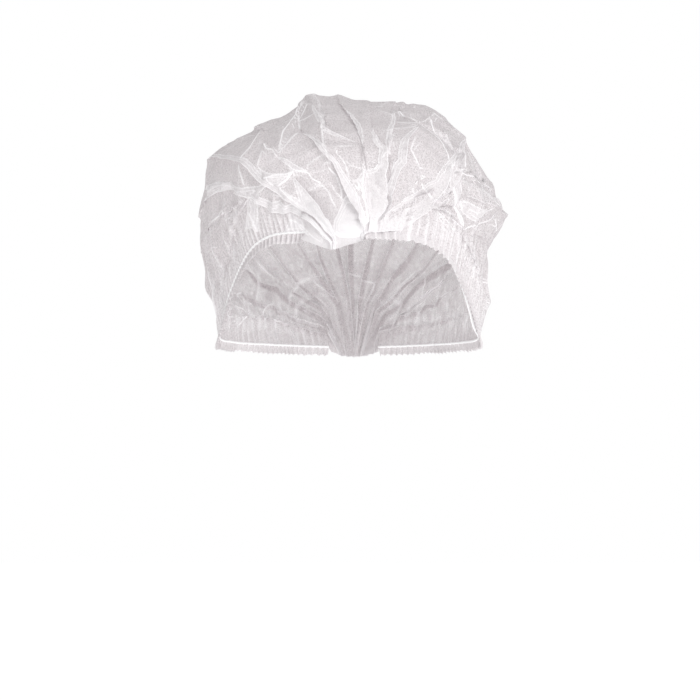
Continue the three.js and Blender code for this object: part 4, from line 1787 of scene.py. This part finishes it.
class NodeMaterial:
    """A material and its nodes."""

    def __init__(self, name: str) -> None:
        self.material = bpy.data.materials.new(name)
        self.material.use_nodes = True
        self.tree = self.material.node_tree
        self.shader = self.tree.nodes["Principled BSDF"]

    def node(
        self, kind: str, settings: dict[str, object] | None = None, inputs: dict[str, object] | None = None
    ) -> bpy.types.Node:
        """Adds a node.

        Args:
            kind: The node's type.
            settings: Its own settings, set first.
            inputs: Values or links of its sockets, by socket name.

        Returns:
            The node.
        """
        node = self.tree.nodes.new(kind)
        for key, value in (settings or {}).items():
            setattr(node, key, value)
        for key, value in (inputs or {}).items():
            self.feed(node, key, value)
        return node

    def feed(self, node: bpy.types.Node, key: str, value: object) -> None:
        """Links a signal or socket to a node's input, or sets the input's value."""
        if isinstance(value, Signal):
            self.tree.links.new(value.socket, node.inputs[key])
        elif isinstance(value, bpy.types.NodeSocket):
            self.tree.links.new(value, node.inputs[key])
        else:
            node.inputs[key].default_value = value

    def signal(self, node: bpy.types.Node, output: str) -> Signal:
        """A node's output as a signal."""
        return Signal(self.tree, node.outputs[output])

    def value(self, name: str) -> Signal:
        """A number that the mesh carries."""
        return self.signal(self.node("ShaderNodeAttribute", {"attribute_name": name}), "Fac")

    def cloth_place(self) -> bpy.types.NodeSocket:
        """The place on the flat cloth."""
        return self.node("ShaderNodeUVMap", {"uv_map": "cloth"}).outputs["UV"]

    def mix(self, part: Signal, low: Colour, high: Colour) -> bpy.types.NodeSocket:
        """A colour between two others."""
        node = self.node("ShaderNodeMix", {"data_type": "RGBA"}, {"Factor": part})
        node.inputs[MIX_LOW].default_value = low
        node.inputs[MIX_HIGH].default_value = high
        return node.outputs[MIX_RESULT]

    def bump(self, height: Signal, strength: float, distance: float) -> bpy.types.NodeSocket:
        """A normal that leans with a height."""
        inputs = {"Strength": strength, "Distance": distance, "Height": height}
        return self.node("ShaderNodeBump", None, inputs).outputs["Normal"]

    def finish(self, inputs: dict[str, object]) -> bpy.types.Material:
        """Feeds the shader and gives the material."""
        for key, value in inputs.items():
            self.feed(self.shader, key, value)
        return self.material


@dataclass(frozen=True)
class Nonwoven:
    """Thin spunbond fabric: fibres laid at random, in cloudy patches and bundles. One layer lets light
    through and is drawn grey, a painted shade darker than the fabric's own white; where it is creased or
    gathered it closes up and turns white, and its bright lines glow with a painted glow.

    Widths and steps are in millimetres, the scales of noise in turns a metre.
    """

    name: str = "nonwoven"
    # Painted shade: the grey that one thin layer is drawn in, darker than the fabric's own white.
    thin_colour: Colour = (0.68, 0.632, 0.645, 1)
    dense_colour: Colour = (0.9, 0.884, 0.896, 1)
    cover: float = 0.7
    cover_span: Span = (0.35, 0.97)
    cloud_scale: float = 170
    cloud_detail: float = 3
    cloud_share: float = 0.25
    fibre_share: float = 0.45
    fibre_mean: float = 0.45
    fibre_white: float = 0.5
    fibre_scale: float = 900
    fibre_stretch: Point = (5, 1, 1)
    fibre_sharpness: float = 900
    fibre_turns: tuple[Point, ...] = (
        (0.1, 0.2, 0.1),
        (0.2, 1.0, 0.5),
        (0.1, 1.9, 0.9),
        (0.4, 2.6, 1.6),
        (0.2, 0.5, 1.5),
    )
    line_cover: float = 0.95
    line_width: float = 0.65
    mark_core: float = 1.25
    ridge_core: float = 1.1
    border_white: float = 0.8
    band_line_step: float = 1.5
    band_line_width: float = 0.42
    band_line_strength: float = 0.85
    band_line_wander: float = 2.5
    band_line_from: float = 0.5
    band_line_to: float = 3.6
    lap_sharpness: float = 2.5
    lap_layers: float = 0.9
    lap_white: float = 0.38
    gather_from: float = 1.15
    gather_white: float = 0.24
    gather_most: float = 0.6
    evened_by_closing: float = 0.85
    # Painted glow: a constant emission from the bright lines, as though the cloth gave off light.
    glow: float = 0.18
    roughness: float = 0.62
    bump_strength: float = 0.35
    bump_depth: float = 0.0004
    bump_height: float = 2

    def make(self) -> bpy.types.Material:
        """The material."""
        made = NodeMaterial(self.name)
        cloud = self._noise(made, made.cloth_place(), self.cloud_scale, self.cloud_detail)
        fibres = self._fibres(made) - self.fibre_mean
        lap, layers = made.value("lap"), made.value("layers")
        lapped = (lap * self.lap_sharpness + 0.5).limited(0, 1)
        # The bright lines and the crease values: partly denser cloth, partly painted highlight; they are
        # whitened and given the painted glow.
        bright = self._lines(made, lap, cloud).largest(made.value("crease"))
        gather = ((layers - self.gather_from) * self.gather_white).limited(0, self.gather_most)
        closed = (gather + lapped * self.lap_white).limited(0, 1)
        loose = 1 - closed * self.evened_by_closing
        uneven = ((cloud - 0.5) * (2 * self.cloud_share) + fibres * self.fibre_share) * loose
        let_through = 1 - (self.cover + uneven).limited(*self.cover_span)
        gathered = 1 - let_through ** (layers + lapped * self.lap_layers)
        # How far the painted grey shade gives way to the fabric's white: where the cloth is closed, along its
        # bright lines, and on its fibres.
        white = closed.largest(bright)
        whiteness = (white + fibres * (1 - white) * self.fibre_white).limited(0, 1)
        return made.finish(
            {
                "Alpha": gathered.largest(bright * self.line_cover).limited(0, 1),
                # Base colour: the painted grey shade on loose single layers, the fabric's white where the
                # cloth is closed or lined.
                "Base Color": made.mix(whiteness, self.thin_colour, self.dense_colour),
                # Painted glow: the bright lines give off light of the fabric's white.
                "Emission Color": made.mix(bright, BLACK, self.dense_colour),
                "Emission Strength": self.glow,
                "Roughness": self.roughness,
                "Normal": made.bump(uneven * self.bump_height, self.bump_strength, self.bump_depth),
            }
        )

    def _lines(self, made: NodeMaterial, lap: Signal, cloud: Signal) -> Signal:
        """The bright lines: ridges, creases, the borders of laps, and the fine lines inside them. They are
        partly the denser folded cloth and partly a painted highlight, and make also gives them a painted
        glow.
        """
        border = lap.size().line(self.line_width) * self.border_white
        mark = made.value("line").size().line(self.line_width, self.mark_core)
        ridge = made.value("ridge").line(self.line_width, self.ridge_core)
        off_line = (lap + cloud * self.band_line_wander).off_steps(self.band_line_step)
        in_band = (lap - self.band_line_from).limited(0, 1) * (self.band_line_to - lap).limited(0, 1)
        band_lines = off_line.line(self.band_line_width) * in_band * self.band_line_strength
        return ridge.largest(mark * made.value("line_show")).largest(border).largest(band_lines)

    def _noise(
        self,
        made: NodeMaterial,
        place: bpy.types.NodeSocket,
        scale: float,
        detail: float,
        stretch: Point = (1, 1, 1),
        turn: Point = (0, 0, 0),
    ) -> Signal:
        """Noise at a place on the cloth or in space, turned and then stretched."""
        mapping = made.node(
            "ShaderNodeMapping",
            {"vector_type": "TEXTURE"},
            {"Vector": place, "Rotation": turn, "Scale": stretch},
        )
        inputs = {"Vector": mapping.outputs["Vector"], "Scale": scale, "Detail": detail}
        return made.signal(made.node("ShaderNodeTexNoise", None, inputs), "Fac")

    def _fibres(self, made: NodeMaterial) -> Signal:
        """Bundles of fibres in several directions: the crests of noise drawn out along each of them."""
        place = made.node("ShaderNodeTexCoord").outputs["Object"]
        crests = []
        for turn in self.fibre_turns:
            away = self._noise(made, place, self.fibre_scale, 1, self.fibre_stretch, turn) - 0.5
            crests.append(1 - (away * away * self.fibre_sharpness).limited(0, 1))
        return functools.reduce(Signal.largest, crests)


@dataclass(frozen=True)
class ElasticYarn:
    """Bright white covered elastic, wound with fine yarn. It is drawn darker along the winding's bands, a
    painted shade, and glows with a painted glow.
    """

    name: str = "elastic_yarn"
    colour: Colour = (0.96, 0.96, 0.965, 1)
    # Painted shade: the darker colour that the winding's bands are drawn towards.
    winding_painted_shade_colour: Colour = (0.82, 0.82, 0.83, 1)
    winding_painted_shade_amount: float = 0.2
    winding_scale: float = 900
    winding_wander: float = 1.5
    # Painted glow: a constant emission of the yarn's white, as though it gave off light.
    glow: float = 0.15
    roughness: float = 0.55
    bump_strength: float = 0.4
    bump_depth: float = 0.0002

    def make(self) -> bpy.types.Material:
        """The material."""
        made = NodeMaterial(self.name)
        inputs = {
            "Vector": made.cloth_place(),
            "Scale": self.winding_scale,
            "Distortion": self.winding_wander,
            "Detail": 1,
        }
        wave = made.node("ShaderNodeTexWave", {"bands_direction": "DIAGONAL"}, inputs)
        winding = made.signal(wave, "Fac")
        return made.finish(
            {
                # Base colour: the yarn's white, with a painted shade along the winding's bands.
                "Base Color": made.mix(winding * self.winding_painted_shade_amount, self.colour, self.winding_painted_shade_colour),
                "Roughness": self.roughness,
                "Emission Color": self.colour,
                "Emission Strength": self.glow,
                "Normal": made.bump(winding, self.bump_strength, self.bump_depth),
            }
        )


@dataclass
class Cap:
    """The cap's pieces."""

    form: CapForm = field(default_factory=CapForm)
    view: FrontView = field(default_factory=FrontView)
    ruffle: Ruffle = field(default_factory=Ruffle)

    def build(self) -> list[bpy.types.Object]:
        """Makes every piece, dresses it and joins it to the frame.

        Returns:
            The pieces.
        """
        pleating = Pleating(self.form, self.view)
        cloth = Fabric(pleating, Crumpling(pleating, self.view), Gathers(pleating, self.ruffle)).build()
        nonwoven = Nonwoven().make()
        last = len(pleating.along) - 1
        front, nape = pleating.rows_front_gather, last - pleating.rows_nape_gather
        cuts = {
            "front_gather": ("sealed_pleats", cloth.rows(0, front)),
            "crown": ("nonwoven", cloth.rows(front, nape)),
            "nape_gather": ("sealed_pleats", cloth.rows(nape, last)),
        }
        pieces = {}
        for node, (slot, sheet) in cuts.items():
            pieces[node] = self._join(sheet_object(node + "_cloth", sheet), nonwoven, node)
        yarn = ElasticYarn().make()
        for side in Side:
            rim = Rim(side, self.form, self.ruffle, pleating.along)
            word = side.name.lower()
            hem = sheet_object(f"hem_{word}_cloth", rim.hem())
            pieces["hem_" + word] = self._join(hem, nonwoven, "hem_" + word)
            points, flat = rim.thread()
            rings, sides = points.shape[:2]
            faces = grid_faces(rings, sides, closed=True)
            thread = new_object(f"elastic_{word}_thread", points.reshape(-1, 3), faces, flat.reshape(-1, 2))
            pieces["elastic_" + word] = self._join(thread, yarn, "elastic_" + word)
        pleating.flat_width * METRES
        pleating.crown_length * METRES
        return list(pieces.values())

    def _join(
        self, piece: bpy.types.Object, material: bpy.types.Material, node: str
    ) -> bpy.types.Object:
        """Gives a piece its material, and its place in the frame."""
        piece.data.materials.append(material)
        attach(piece, BODY)
        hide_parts(node)
        LOG.info("%s: %d faces", piece.name, len(piece.data.polygons))
        return piece


@dataclass
class Studio:
    """The pale floor, the lights, the white surroundings and the camera."""

    view: FrontView
    lens: float = 154
    sensor: float = 36
    floor_z: float = -420
    floor_reach: float = 4000
    floor_colour: Colour = (0.95, 0.95, 0.95, 1)
    floor_roughness: float = 0.9
    floor_glow: float = 0.4
    world_light: float = 0.66
    key_power: float = 11
    key_place: Point = (800, -1500, 650)
    key_size: float = 600
    aim: Point = (0, 0, 70)

    def build(self) -> None:
        """Makes them all."""
        bpy.context.scene.view_settings.view_transform = "Standard"
        self._surroundings()
        self._camera()
        self._light("key_light", self.key_place, self.key_size, self.key_power)
        self._floor()

    def _surroundings(self) -> None:
        """White all round, as a separately lit backdrop is, but with less light on the cap than it shows."""
        world = bpy.data.worlds.new("studio")
        world.use_nodes = True
        tree = world.node_tree
        seen = Signal(tree, tree.nodes.new("ShaderNodeLightPath").outputs["Is Camera Ray"])
        strength = self.world_light + seen * (1 - self.world_light)
        background = tree.nodes["Background"]
        background.inputs["Color"].default_value = WHITE
        tree.links.new(strength.socket, background.inputs["Strength"])
        bpy.context.scene.world = world

    def _camera(self) -> None:
        """The camera, level, at the view's eye."""
        camera = bpy.data.cameras.new("camera")
        camera.lens = self.lens
        camera.sensor_width = self.sensor
        eye = bpy.data.objects.new("camera", camera)
        eye.location = Vector(self.view.eye) * METRES
        eye.rotation_euler = (math.pi / 2, 0, 0)
        bpy.context.scene.collection.objects.link(eye)
        bpy.context.scene.camera = eye

    def _light(self, name: str, place: Point, size: float, power: float) -> None:
        """A soft square light that looks at the cap."""
        light = bpy.data.lights.new(name, "AREA")
        light.size = size * METRES
        light.energy = power
        lamp = bpy.data.objects.new(name, light)
        lamp.location = Vector(place) * METRES
        lamp.rotation_euler = (Vector(self.aim) - Vector(place)).to_track_quat("-Z", "Y").to_euler()
        bpy.context.scene.collection.objects.link(lamp)

    def _floor(self) -> None:
        """The floor, well below the cap, which is held up by its mount."""
        across = np.linspace(-self.floor_reach, self.floor_reach, 3)
        x, y = np.meshgrid(across, across)
        points = np.stack([x, y, np.full_like(x, self.floor_z)], axis=-1)
        floor = new_object("studio_floor", points.reshape(-1, 3), grid_faces(3, 3))
        paper = {
            "Base Color": self.floor_colour,
            "Roughness": self.floor_roughness,
            "Emission Color": WHITE,
            "Emission Strength": self.floor_glow,
        }
        floor.data.materials.append(NodeMaterial("studio_paper").finish(paper))


def main() -> None:
    """Builds the cap and its studio, in order."""
    logging.basicConfig(level=logging.INFO)
    cap = Cap()
    cap.build()
    Studio(cap.view).build()


if __name__ == "__main__":
    main()
